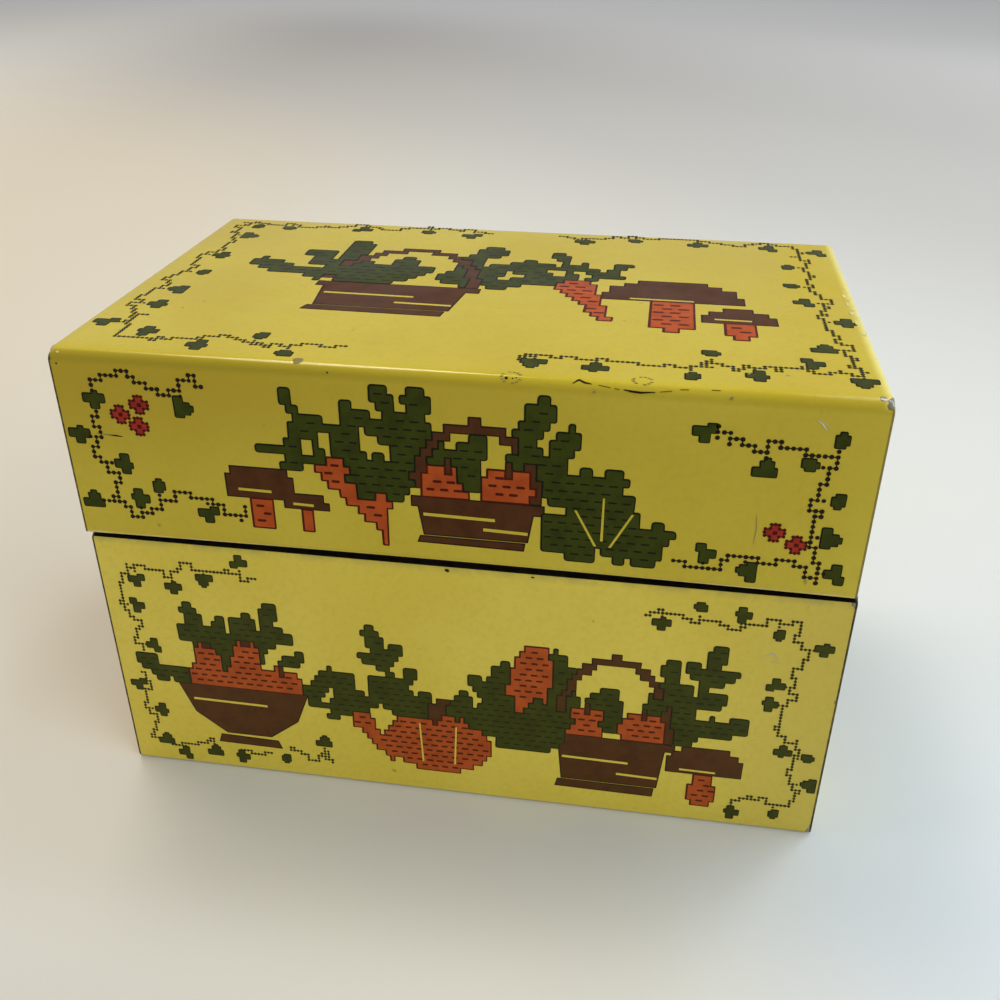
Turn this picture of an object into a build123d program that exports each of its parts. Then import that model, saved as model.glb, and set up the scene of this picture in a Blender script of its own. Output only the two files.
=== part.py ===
from build123d import *
import math
import os

# A tinplate box for 3 x 5 inch cards. Millimetres. X runs across the front, Y from the front (-Y) to the back
# (+Y), Z up. The origin is at the middle of the underside.

# Base
base_width = 133.4            # end face to end face
base_depth = 84.0             # front face to back face
base_height = 52.8            # underside to the line where the front turns in at the shoulder
base_bend = 1.0               # outside radius of the two bottom bends
shoulder_angle = 60.0         # slope of the shoulder, from the vertical
shoulder_bend = 0.9           # outside radius at the top of the walls
neck_root_bend = 0.4          # outside radius where the shoulder turns up into the neck
neck_inset = 1.0              # wall face to neck face
neck_height = 5.5             # shoulder line to the top of the neck
neck_rear_margin = 8.0        # end of the side necks to the back face
neck_trim_room = 0.15         # bottom of the trim at the ends of the front neck, above the neck's root

# Lid
lid_gap = 1.2                 # shoulder line to the lid's lower edge
lid_height = 34.7             # lower edge to top face
lid_bend = 2.5                # outside radius of the two top bends
lid_extra_width = 0.5         # the lid is this much wider than the base
lid_side_shift = -0.6         # the lid has slid to the left along its hinge pin

# Sheet, hems and welded flanges
sheet = 0.3                   # tinplate
hem_height = 2.5
hem_slit = 0.04               # between the two layers of a hem
hem_corner_room = 0.06        # front neck hem to side neck
flange_width = 6.0            # end face to the flange's free edge
flange_bend = 0.6             # outside radius of the flanges' bends
flange_setback = 2.5          # flange ends to the box's outer faces
flange_edge_room = 0.5        # flange ends to a hem, a shoulder or a cut edge
corner_fit = 0.05             # rounded web corner to the inside of the wrapper's bend
shoulder_room = 1.0           # top of the plain part of a base end, below the shoulder line

# Hinge
pin_radius = 0.8
pin_clearance = 0.05
knuckle_span = 130.0          # all knuckles together
knuckle_count = 5             # base, lid, base, lid, base
knuckle_side_play = 0.8       # each side of a lid knuckle, with the lid in the middle
curl_angle = 290.0            # how far a knuckle is curled round
edge_cut_back = 1.55          # hinge axis to the back edges of the base and of the lid
end_cut_length = 1.5          # hinge axis to the front of the cut in the end webs

# Derived places
front_y = -base_depth / 2
back_y = base_depth / 2
base_side_x = base_width / 2
lid_bottom_z = base_height + lid_gap
lid_top_z = lid_bottom_z + lid_height
lid_side_x = (base_width + lid_extra_width) / 2
neck_top_z = base_height + neck_height
neck_root_z = base_height + neck_inset / math.tan(math.radians(shoulder_angle))
hem_width = 2 * sheet + hem_slit
hem_bend = hem_width / 2
side_neck_front_y = front_y + neck_inset + hem_width + hem_corner_room
side_neck_back_y = back_y - neck_rear_margin
curl_inner = pin_radius + pin_clearance
curl_outer = curl_inner + sheet
hinge_y = back_y - curl_outer
hinge_z = base_height + lid_gap / 2
knuckle_pitch = knuckle_span / knuckle_count


def parallel_path(points, bends, shift):
    """Edges that run `shift` to the left of a polyline, with `bends` as the polyline's own corner radii."""
    spots = [Vector(*point) for point in points]
    steps = [(b - a).normalized() for a, b in zip(spots, spots[1:])]
    lefts = [Vector(-step.Y, step.X) for step in steps]
    edges = []
    start = spots[0] + lefts[0] * shift
    for i, bend in enumerate(bends):
        into = steps[i]
        out = steps[i + 1]
        corner = spots[i + 1] + (lefts[i] + lefts[i + 1]) * (shift / (1 + lefts[i].dot(lefts[i + 1])))
        turn = math.copysign(1, into.cross(out).Z)
        reach = (bend - turn * shift) * math.tan(math.radians(into.get_angle(out)) / 2)
        arc_start = corner - into * reach
        arc_end = corner + out * reach
        if (arc_start - start).length > 1e-6:
            edges.append(Line(start, arc_start))
        edges.append(TangentArc(arc_start, arc_end, tangent=into))
        start = arc_end
    end = spots[-1] + lefts[-1] * shift
    edges.append(Line(start, end))
    return edges


def sheet_profile(points, bends, side):
    """Section of a bent sheet: one face follows the polyline, the sheet lies on its `side` (1 left, -1 right)."""
    face = parallel_path(points, bends, 0)
    reverse = parallel_path(points, bends, side * sheet)
    first_end = Line(face[0] @ 0, reverse[0] @ 0)
    last_end = Line(face[-1] @ 1, reverse[-1] @ 1)
    return make_face(face + reverse + [first_end, last_end])


def along_x(profile, start, end):
    """Extrudes a (Y, Z) profile between two places on X."""
    return extrude(Plane.YZ.offset(start) * profile, amount=end - start)


def along_y(profile, start, end):
    """Extrudes an (X, Z) profile between two places on Y."""
    return extrude(Plane.XZ.offset(-start) * profile, amount=start - end)


def along_z(profile, start, end):
    """Extrudes an (X, Y) profile between two places on Z."""
    return extrude(Plane.XY.offset(start) * profile, amount=end - start)


def box_between(low, high):
    """A block given by two opposite corners."""
    size = [b - a for a, b in zip(low, high)]
    return Pos(*low) * Box(*size, align=(Align.MIN, Align.MIN, Align.MIN))


def knuckle_profile(up):
    """Section of a knuckle: a tab that runs from the cut-back edge (`up` 1 for the base) into a curl."""
    tab_edge = hinge_z - up * edge_cut_back
    tab = make_face(Polyline((back_y, tab_edge), (back_y, hinge_z), (back_y - sheet, hinge_z),
                             (back_y - sheet, tab_edge), close=True))
    outer = CenterArc((hinge_y, hinge_z), curl_outer, 0, up * curl_angle)
    inner = CenterArc((hinge_y, hinge_z), curl_inner, 0, up * curl_angle)
    curl = make_face([outer, inner, Line(outer @ 0, inner @ 0), Line(outer @ 1, inner @ 1)])
    return tab + curl


def knuckles(up, first, side_play):
    """Every second knuckle from number `first`, each narrower by the side play at both ends."""
    profile = knuckle_profile(up)
    group = []
    for number in range(first, knuckle_count, 2):
        start = -knuckle_span / 2 + number * knuckle_pitch
        group.append(along_x(profile, start + side_play, start + knuckle_pitch - side_play))
    return group


def make_base_wrapper():
    """Front, floor and back of the base, with the neck's hem, the shoulder and the outer knuckles."""
    neck_y = front_y + neck_inset
    points = [(neck_y + hem_width, neck_top_z - hem_height), (neck_y + hem_width, neck_top_z), (neck_y, neck_top_z),
              (neck_y, neck_root_z), (front_y, base_height), (front_y, 0), (back_y, 0),
              (back_y, hinge_z - edge_cut_back)]
    bends = [hem_bend, hem_bend, neck_root_bend, shoulder_bend, base_bend, base_bend]
    body = along_x(sheet_profile(points, bends, 1), -base_side_x, base_side_x)
    for side in (-1, 1):
        inner_x = side * (base_side_x - neck_inset)
        outer_x = side * base_side_x
        body -= box_between((min(inner_x, outer_x), front_y, neck_root_z + neck_trim_room),
                            (max(inner_x, outer_x), side_neck_front_y, neck_top_z))
    return body + knuckles(1, 0, 0)


def corner_disc(side_x, y, z, bend):
    """Web corner that follows the inside of the wrapper's bend; `y` and `z` are the bend's centre."""
    return along_x(Pos(y, z) * Circle(bend - sheet - corner_fit), side_x - sheet, side_x)


def flange(side_x, face_y, low_z, high_z):
    """Upright flange that turns in from the end web and lies against the inside of the front or back."""
    inward = -math.copysign(1, face_y)
    inner_y = face_y + inward * sheet
    points = [(side_x - flange_width, inner_y), (side_x, inner_y), (side_x, inner_y + inward * 2 * flange_bend)]
    return along_z(sheet_profile(points, [flange_bend], inward), low_z, high_z)


def level_flange(side_x, outer_z, inward):
    """Level flange that turns in from the end web and lies on the floor (`inward` 1) or under the top (-1)."""
    inner_z = outer_z + inward * sheet
    points = [(side_x - flange_width, inner_z), (side_x, inner_z), (side_x, inner_z + inward * 2 * flange_bend)]
    return along_y(sheet_profile(points, [flange_bend], inward), front_y + flange_setback, back_y - flange_setback)


def make_base_right_end():
    """Right end of the base: flat web, shoulder, neck with its hem, and three welded flanges."""
    inset = sheet + flange_bend
    low_y = front_y + inset
    high_y = back_y - inset
    plain_top_z = base_height - shoulder_room
    cut_z = hinge_z - edge_cut_back
    cut_y = hinge_y - end_cut_length
    web = Polyline((low_y, inset), (high_y, inset), (high_y, cut_z), (cut_y, cut_z), (cut_y, base_height),
                   (side_neck_back_y, base_height), (side_neck_back_y, plain_top_z), (low_y, plain_top_z),
                   close=True)
    body = along_x(make_face(web), base_side_x - sheet, base_side_x)
    neck_x = base_side_x - neck_inset
    points = [(base_side_x, inset), (base_side_x, base_height), (neck_x, neck_root_z), (neck_x, neck_top_z),
              (neck_x - hem_width, neck_top_z), (neck_x - hem_width, neck_top_z - hem_height)]
    bends = [shoulder_bend, neck_root_bend, hem_bend, hem_bend]
    body += along_y(sheet_profile(points, bends, 1), side_neck_front_y, side_neck_back_y)
    body += level_flange(base_side_x, 0, 1)
    body += flange(base_side_x, front_y, flange_setback, base_height - shoulder_room - flange_edge_room)
    body += flange(base_side_x, back_y, flange_setback, cut_z - flange_edge_room)
    for y in (front_y + base_bend, back_y - base_bend):
        body += corner_disc(base_side_x, y, base_bend, base_bend)
    return body


def make_lid_wrapper():
    """Front, top and back of the lid, with the front hem and the inner knuckles, lid in the middle."""
    points = [(front_y + hem_width, lid_bottom_z + hem_height), (front_y + hem_width, lid_bottom_z),
              (front_y, lid_bottom_z), (front_y, lid_top_z), (back_y, lid_top_z),
              (back_y, hinge_z + edge_cut_back)]
    bends = [hem_bend, hem_bend, lid_bend, lid_bend]
    body = along_x(sheet_profile(points, bends, -1), -lid_side_x, lid_side_x)
    return body + knuckles(-1, 1, knuckle_side_play)


def make_lid_right_end():
    """Right end of the lid: flat web and three welded flanges, lid in the middle."""
    inset = sheet + flange_bend
    low_y = front_y + inset
    high_y = back_y - inset
    cut_z = hinge_z + edge_cut_back
    cut_y = hinge_y - end_cut_length
    web = Polyline((low_y, lid_bottom_z), (cut_y, lid_bottom_z), (cut_y, cut_z), (high_y, cut_z),
                   (high_y, lid_top_z - lid_bend), (back_y - lid_bend, lid_top_z - inset),
                   (front_y + lid_bend, lid_top_z - inset), (low_y, lid_top_z - lid_bend), close=True)
    body = along_x(make_face(web), lid_side_x - sheet, lid_side_x)
    flange_top_z = lid_top_z - lid_bend - flange_edge_room
    body += level_flange(lid_side_x, lid_top_z, -1)
    body += flange(lid_side_x, front_y, lid_bottom_z + hem_height + flange_edge_room, flange_top_z)
    body += flange(lid_side_x, back_y, cut_z + flange_edge_room, flange_top_z)
    for y in (front_y + lid_bend, back_y - lid_bend):
        body += corner_disc(lid_side_x, y, lid_top_z - lid_bend, lid_bend)
    return body


def make_hinge_pin():
    """Steel wire through all the knuckles."""
    return along_x(Pos(hinge_y, hinge_z) * Circle(pin_radius), -knuckle_span / 2, knuckle_span / 2)


lid_place = Pos(lid_side_shift, 0, 0)
base_right_end = make_base_right_end()
lid_right_end = make_lid_right_end()
nodes = {
    "base_wrapper": make_base_wrapper(),
    "base_right_end": base_right_end,
    "base_left_end": mirror(base_right_end, about=Plane.YZ),
    "lid_wrapper": lid_place * make_lid_wrapper(),
    "lid_right_end": lid_place * lid_right_end,
    "lid_left_end": lid_place * mirror(lid_right_end, about=Plane.YZ),
    "hinge_pin": make_hinge_pin(),
}

os.makedirs("parts", exist_ok=True)
for name, shape in nodes.items():
    export_step(shape, f"parts/{name}.step")
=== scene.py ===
import math
import random

import bmesh
import bpy
from mathutils import Matrix, Vector, noise
from mathutils.geometry import tessellate_polygon


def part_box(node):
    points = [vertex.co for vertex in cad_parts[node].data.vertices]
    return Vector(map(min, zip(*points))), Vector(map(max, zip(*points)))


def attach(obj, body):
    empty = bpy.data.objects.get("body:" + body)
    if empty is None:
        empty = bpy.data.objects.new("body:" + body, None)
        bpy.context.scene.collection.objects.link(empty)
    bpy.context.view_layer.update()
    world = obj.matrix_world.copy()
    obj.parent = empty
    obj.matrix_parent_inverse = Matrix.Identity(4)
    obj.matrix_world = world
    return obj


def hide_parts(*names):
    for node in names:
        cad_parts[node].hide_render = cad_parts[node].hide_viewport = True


# The looks of a printed tin card box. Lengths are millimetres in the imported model's frame, and MM turns them
# into Blender's metres. The floor, the lamps and the scales of noise are in metres.
MM = 0.001

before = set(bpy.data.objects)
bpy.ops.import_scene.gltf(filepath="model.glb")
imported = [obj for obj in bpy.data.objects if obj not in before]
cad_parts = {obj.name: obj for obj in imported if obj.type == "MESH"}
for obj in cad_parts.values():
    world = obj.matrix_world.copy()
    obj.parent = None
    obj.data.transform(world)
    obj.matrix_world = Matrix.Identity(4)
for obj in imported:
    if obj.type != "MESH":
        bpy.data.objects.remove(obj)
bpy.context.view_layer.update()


# ---------------------------------------------------------------- sizes


def node_box(name):
    """The lowest and highest corner of a CAD node."""
    low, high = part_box(name)
    return Vector(low) / MM, Vector(high) / MM


base_low, base_high = node_box("base_wrapper")
lid_low, lid_high = node_box("lid_wrapper")
pin_low, pin_high = node_box("hinge_pin")

SHEET = 0.3                      # tinplate
INK_ROOM = 0.08                  # the painted face lies this far inside the CAD face, and the ink fills it
FRONT_Y = base_low.y
BACK_Y = base_high.y
BASE_X = base_high.x
LID_MID_X = (lid_low.x + lid_high.x) / 2
LID_X = (lid_high.x - lid_low.x) / 2
LID_TOP_Z = lid_high.z
BASE_HEIGHT = 52.8               # shoulder line
LID_BOTTOM_Z = 54.0
LID_BEND = 2.5
BASE_BEND = 1.0
SHOULDER_ANGLE = math.radians(60)
SHOULDER_BEND = 0.9
# above this the base's shoulder slope is unprinted and painted near-black, the shade of the gap under the lid
BARE_SHOULDER_Z = BASE_HEIGHT + 0.12
NECK_TRIM_BEND = 0.25
NECK_INSET = 1.0
NECK_TOP_Z = base_high.z
NECK_ROOT_Z = BASE_HEIGHT + NECK_INSET / math.tan(SHOULDER_ANGLE)
NECK_TRIM_Z = NECK_ROOT_Z + 0.15
SIDE_NECK_BACK_Y = BACK_Y - 8.0
HEM_HEIGHT = 2.5
HEM_WIDTH = 2 * SHEET + 0.04
HEM_FOOT_Z = NECK_TOP_Z - HEM_HEIGHT
HEM_FIT = 0.06
FLANGE_WIDTH = 6.0
FLANGE_BEND = 0.6
FLANGE_SETBACK = 2.5
WEB_INSET = SHEET + FLANGE_BEND
EDGE_ROOM = 0.5
SHOULDER_ROOM = 1.0
CORNER_FIT = 0.05
DISC_INSET = 0.02                # an end's corner disc is this much thinner than the sheet, on each side
DISC_SIDES = 32
HINGE_Y = (pin_low.y + pin_high.y) / 2
HINGE_Z = (pin_low.z + pin_high.z) / 2
CURL_INNER = 0.85
CURL_OUTER = CURL_INNER + SHEET
CURL_ANGLE = math.radians(290)
CUT_BACK = 1.55
CUT_LENGTH = 1.5
KNUCKLE_SPAN = pin_high.x - pin_low.x
KNUCKLE_COUNT = 5
KNUCKLE_PLAY = 0.8
LID_EDGE_BOW = 0.35              # the lid's front edge is bowed up in the middle
BOW_HEIGHT = 14                  # and the bow dies out this far up the front
LIP_RISE = 0.15                  # the lid's front as a whole stands this much high in the lip's middle
LIP_DROP = 0.5                   # and falls this much towards its ends
LIP_END_X = 66
LIP_DEPTH = (-25, -38)           # from nothing at the first Y to all of it at the second
LIP_HEIGHT = (66, LID_BOTTOM_Z)  # and the same in Z
EDGE_ROUND = 0.2                 # width of the rolled-over, bare margin at a cut edge
EDGE_DROP = 0.13                 # how far it rolls in
EDGE_SHEET = 0.12                # and the thickness of the sheet there
EDGE_COLUMNS = 4                 # so many columns of faces along a cut edge are bare
TOP_EDGE_ROUND = 0.85            # the smooth roll where the lid's top meets its ends: its width
TOP_EDGE_DROP = 0.7              # and how far it rolls in
EDGE_STATIONS = (0.0, 0.03, 0.09, EDGE_ROUND, 0.4, 0.62, TOP_EDGE_ROUND)
ARC_STEP = math.radians(9)
FLAT_STEP = 2.5
SHARP_ANGLE = math.radians(28)


# ---------------------------------------------------------------- mesh building


def smooth_step(low, high, value):
    share = min(1.0, max(0.0, (value - low) / (high - low)))
    return share * share * (3 - 2 * share)


def heading(tilt):
    """The unit vector that many degrees anticlockwise from +X."""
    turn = math.radians(tilt)
    return Vector((math.cos(turn), math.sin(turn)))


def circle(count):
    """Unit vectors all the way round."""
    return [heading(360 * k / count) for k in range(count)]


def turned(way, angle):
    """A plane vector turned by an angle in radians."""
    return Vector((way.x * math.cos(angle) - way.y * math.sin(angle),
                   way.x * math.sin(angle) + way.y * math.cos(angle)))


class Shell:
    """Collects closed islands of vertices and faces, with a material number on each face."""

    def __init__(self, name, body, materials):
        self.name = name
        self.body = body
        self.materials = materials
        self.verts = []
        self.faces = []
        self.marks = []

    def face(self, corners, material):
        self.faces.append(corners)
        self.marks.append(self.materials.index(material))

    def make(self, *replaced):
        """Makes the mesh, which rides on the body and replaces the named nodes."""
        mesh = bpy.data.meshes.new(self.name)
        mesh.from_pydata([v * MM for v in self.verts], [], self.faces)
        mesh.polygons.foreach_set("material_index", self.marks)
        for name in self.materials:
            mesh.materials.append(bpy.data.materials[name])
        work = bmesh.new()
        work.from_mesh(mesh)
        bmesh.ops.recalc_face_normals(work, faces=work.faces)
        work.to_mesh(mesh)
        work.free()
        mesh.polygons.foreach_set("use_smooth", [True] * len(mesh.polygons))
        mesh.set_sharp_from_angle(angle=SHARP_ANGLE)
        piece = bpy.data.objects.new(self.name, mesh)
        bpy.context.scene.collection.objects.link(piece)
        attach(piece, self.body)
        if replaced:
            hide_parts(*replaced)


def settle(body, point, normal):
    """Where a point of the ideal outer face lies on the painted sheet, with the lid's edge bowed."""
    placed = point - normal * INK_ROOM
    if body == "lid" and normal.y < -0.5:
        across = (point.x - LID_MID_X) / LID_X
        rise = 1 - smooth_step(LID_BOTTOM_Z, LID_BOTTOM_Z + BOW_HEIGHT, point.z)
        placed.z += LID_EDGE_BOW * (1 - across * across) * rise
    return placed


def trace(points, bends, side):
    """A sheet's outer face sampled along a polyline with round corners: (place, outward normal) pairs."""
    spots = [Vector(p) for p in points]
    steps = [(b - a).normalized() for a, b in zip(spots, spots[1:])]
    samples = []

    def outward(step):
        return Vector((step.y, -step.x)) * side

    def run(a, b, step):
        count = max(1, math.ceil((b - a).length / FLAT_STEP))
        for k in range(count + 1):
            samples.append((a.lerp(b, k / count), outward(step)))

    start = spots[0]
    for i, bend in enumerate(bends):
        into, out = steps[i], steps[i + 1]
        angle = into.angle(out)
        turn = math.copysign(1, into.x * out.y - into.y * out.x)
        reach = bend * math.tan(angle / 2)
        arc_start = spots[i + 1] - into * reach
        if (arc_start - start).length > 1e-4:
            run(start, arc_start, into)
        centre = arc_start + Vector((-into.y, into.x)) * turn * bend
        count = max(2, math.ceil(angle / ARC_STEP))
        for k in range(1, count):
            part = turn * angle * k / count
            samples.append((centre + turned(arc_start - centre, part), outward(turned(into, part))))
        start = spots[i + 1] + out * reach
    run(start, spots[-1], steps[-1])
    return samples


AXES = {
    "x": lambda a, b, t: Vector((t, a, b)),
    "y": lambda a, b, t: Vector((a, t, b)),
    "z": lambda a, b, t: Vector((a, b, t)),
}


def stations(start, end, round_edges):
    """Places along the extrusion: close together at a rounded cut edge, evenly spaced between."""
    edge = EDGE_STATIONS if round_edges else (0.0,)
    inner = end - start - 2 * edge[-1]
    count = max(1, math.ceil(inner / FLAT_STEP))
    middle = [start + edge[-1] + inner * k / count for k in range(count + 1)]
    head = [start + e for e in edge[:-1]]
    tail = [end - e for e in reversed(edge[:-1])]
    return head + middle + tail


def lip_bow(spot):
    """How far the lid's front lip stands off its straight line: up in the middle, down at the ends."""
    share = smooth_step(*LIP_DEPTH, spot.y) * smooth_step(*LIP_HEIGHT, spot.z)
    return share * (LIP_RISE - LIP_DROP * (spot.x / LIP_END_X) ** 2)


def add_sheet(shell, samples, axis, start, end, outside, round_edges=True, flat=False):
    """Closed island of sheet: `samples` are extruded along `axis`. The outer face's material is `outside`,
    or shoulder_shade_tin where it slopes in under the lid. A `flat` one doesn't bow with the lid's front."""
    on_lid = shell.body == "lid"
    place = AXES[axis]
    along = stations(start, end, round_edges)
    first = len(shell.verts)
    rows = len(along)
    for spot, normal in samples:
        way = place(normal.x, normal.y, 0)
        roll = smooth_step(0.3, 0.95, way.z) if on_lid and round_edges else 0
        width = EDGE_ROUND + (TOP_EDGE_ROUND - EDGE_ROUND) * roll
        drop = EDGE_DROP + (TOP_EDGE_DROP - EDGE_DROP) * roll
        for t in along:
            point = place(spot.x, spot.y, t)
            outer = point - way * INK_ROOM if flat else settle(shell.body, point, way)
            margin = min(t - start, end - t)
            if round_edges and margin < width:
                outer -= way * drop * (1 - math.sqrt(1 - (1 - margin / width) ** 2))
            if on_lid:
                outer.z += lip_bow(outer)
            thickness = EDGE_SHEET if round_edges and margin < EDGE_ROUND else SHEET - INK_ROOM
            shell.verts.extend([outer, outer - way * thickness])

    def quad(material, *corners):
        shell.face([first + 2 * (i * rows + j) + layer for i, j, layer in corners], material)

    last = len(samples) - 1
    for i in range(last):
        facing_up = samples[i][1].y
        middle_z = (samples[i][0].y + samples[i + 1][0].y) / 2
        sloped = facing_up > 0.3 or middle_z > NECK_ROOT_Z - 0.2
        # the base's upper shoulder slope: painted near-black as the shade of the gap under the lid
        bare = not on_lid and not flat and sloped and middle_z > BARE_SHOULDER_Z
        mark = "shoulder_shade_tin" if bare and outside == "yellow_litho" else outside
        margin_columns = EDGE_COLUMNS if round_edges and (not on_lid or facing_up < 0.6) else 0
        for j in range(rows - 1):
            rim = j < margin_columns or j >= rows - 1 - margin_columns
            quad("raw_edge" if rim else mark, (i, j, 0), (i, j + 1, 0), (i + 1, j + 1, 0), (i + 1, j, 0))
            quad("bare_tin", (i, j, 1), (i + 1, j, 1), (i + 1, j + 1, 1), (i, j + 1, 1))
    for i in range(last):
        for j in (0, rows - 1):
            quad("raw_edge", (i, j, 0), (i + 1, j, 0), (i + 1, j, 1), (i, j, 1))
    for j in range(rows - 1):
        for i in (0, last):
            quad("raw_edge", (i, j, 0), (i, j + 1, 0), (i, j + 1, 1), (i, j, 1))


def add_disc(shell, side_x, y, z, radius):
    """Rounded corner of an end web: a flat disc whose edge follows the inside of the wrapper's bend."""
    first = len(shell.verts)
    sign = math.copysign(1, side_x)
    for inset in (INK_ROOM + DISC_INSET, SHEET - DISC_INSET):
        for way in circle(DISC_SIDES):
            shell.verts.append(Vector((side_x - sign * inset, y + radius * way.x, z + radius * way.y)))
    outer = [first + k for k in range(DISC_SIDES)]
    inner = [k + DISC_SIDES for k in outer]
    shell.face(outer, "yellow_litho")
    shell.face(inner, "bare_tin")
    for k in range(DISC_SIDES):
        after = (k + 1) % DISC_SIDES
        shell.face([outer[k], outer[after], inner[after], inner[k]], "raw_edge")


def add_knuckles(shell, up, first, play, shift):
    """Curled knuckles with their tabs, every second one from number `first`."""
    start = Vector((BACK_Y, HINGE_Z - up * CUT_BACK))
    samples = [(start.lerp(Vector((BACK_Y, HINGE_Z)), k / 2), Vector((1, 0))) for k in range(3)]
    count = math.ceil(CURL_ANGLE / ARC_STEP)
    for k in range(1, count + 1):
        angle = up * CURL_ANGLE * k / count
        way = Vector((math.cos(angle), math.sin(angle)))
        samples.append((Vector((HINGE_Y, HINGE_Z)) + way * CURL_OUTER, way))
    pitch = KNUCKLE_SPAN / KNUCKLE_COUNT
    for number in range(first, KNUCKLE_COUNT, 2):
        low = -KNUCKLE_SPAN / 2 + number * pitch + play + shift
        add_sheet(shell, samples, "x", low, low + pitch - 2 * play, "yellow_litho", flat=True)


# ---------------------------------------------------------------- materials


def srgb(red, green, blue):
    """A colour given as 0-255 display values, as the linear values that shaders use."""
    parts = [c / 255 for c in (red, green, blue)]
    return tuple(c / 12.92 if c <= 0.04045 else ((c + 0.055) / 1.055) ** 2.4 for c in parts) + (1.0,)


class Nodes:
    """A material, with short names for the nodes that it is built from."""

    def __init__(self, name):
        self.material = bpy.data.materials.new(name)
        self.material.use_nodes = True
        self.tree = self.material.node_tree
        self.tree.nodes.clear()
        self.shader = self.tree.nodes.new("ShaderNodeBsdfPrincipled")
        self.add("OutputMaterial", {0: self.shader.outputs[0]})
        self.coords = self.add("TexCoord", {})["Object"]
        self.across, self.depth, self.height = self.add("SeparateXYZ", {0: self.coords})

    def link(self, source, target):
        if isinstance(source, bpy.types.NodeSocket):
            self.tree.links.new(source, target)
        else:
            target.default_value = source

    def add(self, kind, inputs, **settings):
        """A new node's outputs. `inputs` gives the value of each socket, or the output that feeds it."""
        node = self.tree.nodes.new("ShaderNode" + kind)
        for name, value in settings.items():
            setattr(node, name, value)
        for socket, source in inputs.items():
            self.link(source, node.inputs[socket])
        return node.outputs

    def noise(self, scale, detail=3.0, roughness=0.5, vector=None):
        inputs = {"Scale": scale, "Detail": detail, "Roughness": roughness, "Vector": vector or self.coords}
        return self.add("TexNoise", inputs)[0]

    def streaks(self, scales, detail=4.0):
        """Noise with its own scale along each axis."""
        stretched = self.add("Mapping", {"Vector": self.coords, "Scale": scales})[0]
        return self.noise(1.0, detail, vector=stretched)

    def span(self, value, low, high, to_low=0.0, to_high=1.0):
        """Eases from `to_low` to `to_high` as the value goes from `low` to `high`."""
        inputs = {"Value": value, "From Min": low, "From Max": high, "To Min": to_low, "To Max": to_high}
        return self.add("MapRange", inputs, interpolation_type="SMOOTHSTEP")[0]

    def span_mm(self, place, low, high, to_low=0.0, to_high=1.0):
        """span() of a place on the box, in millimetres."""
        return self.span(place, low * MM, high * MM, to_low, to_high)

    def math(self, operation, a, b):
        return self.add("Math", {0: a, 1: b}, operation=operation)[0]

    def times(self, first, *others):
        for other in others:
            first = self.math("MULTIPLY", first, other)
        return first

    def mix(self, factor, a, b):
        """From colour a to colour b. A colour is an output, or a tuple of display values."""
        a, b = (srgb(*c) if isinstance(c, tuple) else c for c in (a, b))
        return self.add("Mix", {0: factor, 6: a, 7: b}, data_type="RGBA")[2]

    def near(self, place, radius, ragged):
        """1 within a ragged radius of a place on the box."""
        radius = radius * MM
        inputs = {0: self.coords, 1: Vector(place) * MM}
        distance = self.add("VectorMath", inputs, operation="DISTANCE")["Value"]
        reach = self.math("SUBTRACT", distance, self.times(ragged, 0.9 * radius))
        return self.span(reach, radius * 0.62, radius * 0.5)

    def bump(self, height, distance, strength, under=None):
        """A normal, bumped by a height over the normal `under`, if any."""
        inputs = {"Strength": strength, "Distance": distance, "Height": height}
        if under:
            inputs["Normal"] = under
        return self.add("Bump", inputs)[0]

    def set(self, **values):
        for name, value in values.items():
            self.link(value, self.shader.inputs[name.replace("_", " ")])


WEAR_SPOTS = [                   # corners rubbed down to the tin: place and radius
    ((66.4, -41.0, 88.0), 1.6),
    ((64.6, -40.2, 88.5), 0.7),
    ((66.9, -41.9, 85.6), 1.2),
    ((-67.4, -41.5, 86.9), 0.7),
    ((66.5, -41.7, 52.6), 1.2),
    ((66.7, -41.9, 0.9), 1.2),
    ((66.6, -41.9, 2.2), 0.7),
    ((66.7, -41.8, 32.0), 0.8),
    ((-66.6, -41.8, 0.5), 0.7),
]


def lacquer(nodes, colour, gloss_low, gloss_high, mirror=0.42, dulling=None):
    """Gloss litho lacquer over a colour: handling smudges in the gloss, orange peel and slow unevenness."""
    smudge = nodes.noise(55, detail=4, roughness=0.6)
    rub = nodes.streaks((18, 18, 260), detail=3)
    rough = nodes.span(smudge, 0.35, 0.7, gloss_low, gloss_high)
    rough = nodes.math("ADD", rough, nodes.span(rub, 0.55, 0.8, 0.0, 0.06))
    if dulling:
        rough = nodes.math("ADD", rough, dulling)
    peel = nodes.bump(nodes.noise(1400, detail=2), 0.00001, 0.25)
    slow = nodes.bump(nodes.noise(42, detail=2), 0.0004, 0.18, peel)
    nodes.set(Base_Color=colour, Roughness=rough, Normal=slow, Specular_IOR_Level=mirror)


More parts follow.
